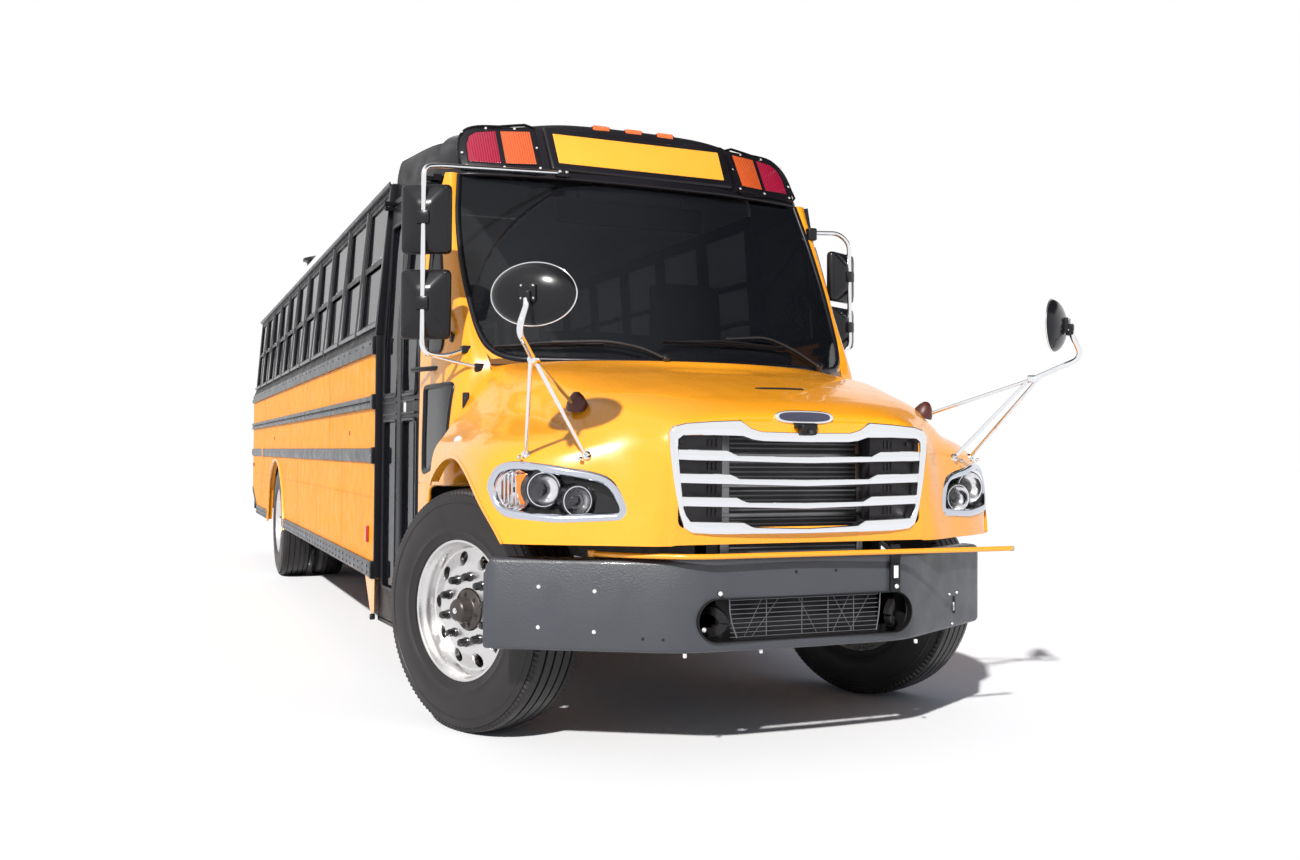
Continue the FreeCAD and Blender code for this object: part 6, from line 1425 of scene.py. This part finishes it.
finished(block((-0.42, REAR_Y - 0.002, 2.615), (0.42, REAR_Y + 0.006, 2.8), 0.008, 3), "blank_rear_plate", "bus",
         "sign_yellow", sign_skin)
glass_line = rounded_path([(0, REAR_Y, 1.25), (0.325, REAR_Y, 1.25), (0.325, REAR_Y, 2.445), (-0.325, REAR_Y, 2.445),
                           (-0.325, REAR_Y, 1.25), (0, REAR_Y, 1.25)], 0.05, 5)[:-1]
finished(swept(glass_line, bead(0.014, 0.008, -0.004, 0.006), True, (0, 1, 0)), "rear_door_gasket", "rear_exit",
         "black_paint", gasket_rubber)
handle = [pipe([(-0.3, REAR_Y - 0.004, 1.185), (-0.3, REAR_Y + 0.045, 1.185), (-0.1, REAR_Y + 0.045, 1.185),
                (-0.1, REAR_Y - 0.004, 1.185)], 0.01, 0.02)]
handle += [bar((x, REAR_Y - 0.004, 1.185), (x, REAR_Y + 0.006, 1.185), 0.022, 20, 0.002) for x in (-0.3, -0.1)]
finished(handle, "rear_door_handle", "rear_exit", "chrome", bolt_steel)
edge_line = [(0.452, REAR_Y, 1.105), (0.452, REAR_Y, 2.54), (-0.452, REAR_Y, 2.54), (-0.452, REAR_Y, 1.105)]
rear_seal = swept(edge_line, bead(0.006, 0.004, -0.004, 0.004), True, (0, 1, 0))
finished(rear_seal, "rear_door_seal", "bus", "black_paint", gasket_rubber)

# ------------ roof
# White steel roof panels overlap at bows, which straps and lines of rivets mark. A black moulded vent is screwed
# on over the right side.
roof_rivet = bar((0, 0, -0.001), (0, 0, 0.0022), 0.0042, 6, 0.0008)
roof_line = [(1.105, 2.8269), (1.005, 2.9201), (0.805, 2.9834), (0.495, 3.0234), (0.0, 3.04)]
roof_rivets, straps = [], []
for y in [1.95 + WINDOW_PITCH * 2 * n for n in range(6)]:
    straps.append(plate([(x, y, z + 0.001) for x, z in roof_line] + [(x, y, z - 0.003) for x, z in roof_line[::-1]],
                        (0, 0.06, 0)))
    for (xa, za), (xb, zb) in zip(roof_line, roof_line[1:]):
        steps = int(math.hypot(xb - xa, zb - za) / 0.1)
        roof_rivets += [(xa + (xb - xa) * n / steps, y + 0.03, za + (zb - za) * n / steps + 0.001)
                        for n in range(steps)]
both_sides(straps, "roof_bow_straps", "bus", "roof_white", white)
both_sides(repeated(roof_rivet, roof_rivets), "roof_rivets", "bus", "roof_white", white)

vent = lathed([(-0.01, 0.0), (-0.01, 0.1), (0.035, 0.105), (0.045, 0.135), (0.07, 0.13), (0.082, 0.06), (0.084, 0.0)],
              (-0.93, 6.45, 2.935), (-0.15, 0, 1), 32)
finished(vent, "roof_vent", "bus", "mirror_black", moulded)

# ------------ stop arm
# A folding red octagon of sheet aluminium with a white border and two flashing lamps a side. Both faces are left
# blank.
SIGN_Y, SIGN_Z = 1.75, 1.59


def octagon(radius, x, thick):
    """An eight-sided plate about the middle of the stop arm's blade."""
    return plate([(x, SIGN_Y + radius * math.sin(a), SIGN_Z + radius * math.cos(a)) for a in turns(8, 0.5)],
                 (thick, 0, 0))


finished([octagon(0.222, 1.2605, -0.0006), octagon(0.222, 1.2855, 0.0006)], "stop_arm_border", "stop_blade",
         "roof_white", blank_white)
stop_red = coating("stop_red_sheeting", (0.55, 0.012, 0.016), 0.35, coat=0.2, drift=0.05, grain=0.15, grain_scale=800.0)
finished([octagon(0.206, 1.2599, -0.0006), octagon(0.206, 1.2861, 0.0006)], "stop_arm_faces", "stop_blade", "sign_red",
         stop_red)
stop_lamps = [lathed([(-0.002, 0.0), (-0.002, 0.046), (0.006, 0.044), (0.01, 0.0)], (x, SIGN_Y, SIGN_Z + rise),
                     (way, 0, 0), 28)
              for x, way in ((1.2867, 1), (1.2593, -1)) for rise in (-0.145, 0.145)]
finished(stop_lamps, "stop_arm_lamps", "stop_blade", "lamp_red", marker_red)

# ------------ seats
# Twenty benches and the driver's seat are foam under charcoal vinyl on bent tube legs. Each cushion and back is
# a crowned form whose sides pull in between its corners.
vinyl = coating("seat_vinyl_charcoal", (0.02, 0.022, 0.03), 0.42, drift=0.15, grain=0.35, grain_scale=330.0)


def pad(low, high, crown, pull, lean=0.0):
    """An upholstered block between two corners: rounded, crowned on every face, with sides pulled in."""
    piece = block(low, high, 0)
    opened(piece)
    bpy.ops.mesh.subdivide(number_cuts=7)
    bpy.ops.object.mode_set(mode="OBJECT")
    middle = (Vector(low) + Vector(high)) / 2
    half = (Vector(high) - Vector(low)) / 2
    for vertex in piece.data.vertices:
        share = [(vertex.co[axis] - middle[axis]) / half[axis] for axis in range(3)]
        for axis in range(3):
            first, second = [share[other] for other in range(3) if other != axis]
            fullness = (1 - first ** 2) * (1 - second ** 2)
            corner = abs(first * second)
            drawn_in = pull * (1 - corner) * (abs(first) > 0.99 or abs(second) > 0.99)
            fallen = crown * (1 - fullness) * (abs(share[axis]) > 0.99)
            vertex.co[axis] -= share[axis] * (drawn_in + fallen)
        vertex.co.y += lean * (vertex.co.z - low[2])
    rounded(piece, 0.02, 3, angle_limit=math.radians(60))
    return changed(piece, "SUBSURF", levels=1, render_levels=1)


bench_places = [(side * 0.645, 9.516 - WINDOW_PITCH * n, 0) for side in (-1, 1) for n in range(10)]
cushions = repeated(pad((-0.478, -0.388, 1.412), (0.478, -0.024, 1.53), 0.018, 0.006), bench_places)
driver_cushion = pad((0.402, 1.172, 1.432), (0.878, 1.538, 1.55), 0.022, 0.008)
finished([cushions, driver_cushion], "seat_cushions", "bus", "seat_vinyl", vinyl, ["seats"], smooth=80)
backs = repeated(pad((-0.478, -0.018, 1.402), (0.478, 0.068, 2.078), 0.014, 0.006, 0.118), bench_places)
driver_back = pad((0.402, 1.542, 1.432), (0.878, 1.628, 2.248), 0.018, 0.008, 0.1)
finished([backs, driver_back], "seat_backs", "bus", "seat_vinyl", vinyl, smooth=80)
legs = []
for x, y, _ in bench_places:
    way = -1 if x > 0 else 1
    legs += [pipe([(x + way * reach, y + back, z)
                   for back, z in ((-0.34, 1.102), (-0.34, 1.4), (-0.07, 1.4), (-0.07, 1.102))],
                  0.014, 0.04, 8, 3) for reach in (0.42, 0.1)]
legs.append(block((0.49, 1.24, 1.1), (0.79, 1.5, 1.43), 0.01))
finished(legs, "seat_legs", "bus", "steel_tank",
         coating("seat_leg_grey", (0.045, 0.045, 0.05), 0.4, metal=0.4, drift=0.1), smooth=50)

# ------------ behind the windscreen
# A black moulded dash with an instrument hood, an inside mirror hung under the cap, and a steel rail with a
# panel that guards the steps.
cluster = [block((0.42, 0.7, 1.64), (0.86, 0.8, 1.765), 0.02, 3), block((-0.7, 0.6, 1.6), (0.3, 0.76, 1.665), 0.02, 3),
           block((-0.16, 0.42, 1.595), (0.1, 0.56, 1.7), 0.02, 3)]
finished(cluster, "dash_hoods", "bus", "dash_plastic", moulded)
mirror_in = block((-0.42, 0.945, 2.42), (0.42, 0.965, 2.55), 0.008, 3)
finished([mirror_in, bar((-0.3, 0.955, 2.54), (-0.3, 0.955, 2.6), 0.008, 10),
          bar((0.3, 0.955, 2.54), (0.3, 0.955, 2.6), 0.008, 10)],
         "inside_mirror", "bus", "mirror_black", moulded)
rails = [pipe([(-0.42, 1.72, 1.1), (-0.42, 1.72, 2.05), (-1.0, 1.72, 2.05), (-1.08, 1.72, 1.96)], 0.016, 0.06, 12),
         bar((-0.45, 1.72, 1.55), (-1.08, 1.72, 1.55), 0.014, 12)]
finished(rails + [block((-1.06, 1.712, 1.14), (-0.44, 1.728, 1.53), 0.003)], "step_guard_rail", "bus", "steel_tank",
         coating("rail_grey", (0.12, 0.12, 0.13), 0.35, metal=0.5, drift=0.06))

# ------------ radiator
# The aluminium core shows its fins between two bright side tanks, with three slats across it. It stands behind
# the grille on the frame rails.
fins = repeated(block((-0.25, -0.004, -0.003), (0.34, 0.004, 0.003), 0),
                [(0, -0.7445, 0.68 + 0.019 * n) for n in range(34)])
finished(fins, "radiator_fins", "bus", "radiator",
         coating("radiator_fin", (0.16, 0.16, 0.18), 0.45, metal=0.5, drift=0.3))
tanks = [block((-0.29, -0.752, 0.66), (-0.25, -0.741, 1.33), 0.003),
         block((0.345, -0.752, 0.66), (0.375, -0.741, 1.33), 0.003)]
tanks += [block((-0.5, -0.76, z), (0.5, -0.752, z + 0.016), 0.003) for z in (0.955, 1.075, 1.195)]
finished(tanks, "radiator_tanks", "bus", "steel_tank", bolt_steel)

# ------------ running gear and cabin floor
# What is seen only underneath or through the glass keeps its CAD shape: black painted steel, dull bare tanks and
# pipes, and moulded black floor and dash.
dark_chassis = coating("chassis_black_paint", (0.018, 0.018, 0.019), 0.5, drift=0.3, grain=0.3, grain_scale=200.0)
painted(dark_chassis, "frame_rails", "crossmembers", "front_axle", "leaf_springs", "rear_axle", "driveshaft",
        "transmission", "engine_block", "front_knuckle_right", "front_knuckle_left", "radiator")
steel = coating("dull_steel", (0.35, 0.35, 0.36), 0.4, metal=0.9, grain=0.2, grain_scale=150.0)
painted(steel, "fuel_tank", "exhaust")
painted(moulded, "dashboard", "steering_wheel", "floor", "entrance_steps")
painted(coating("red_lens", (0.55, 0.01, 0.05), 0.2, drift=0.06), "stop_arm")
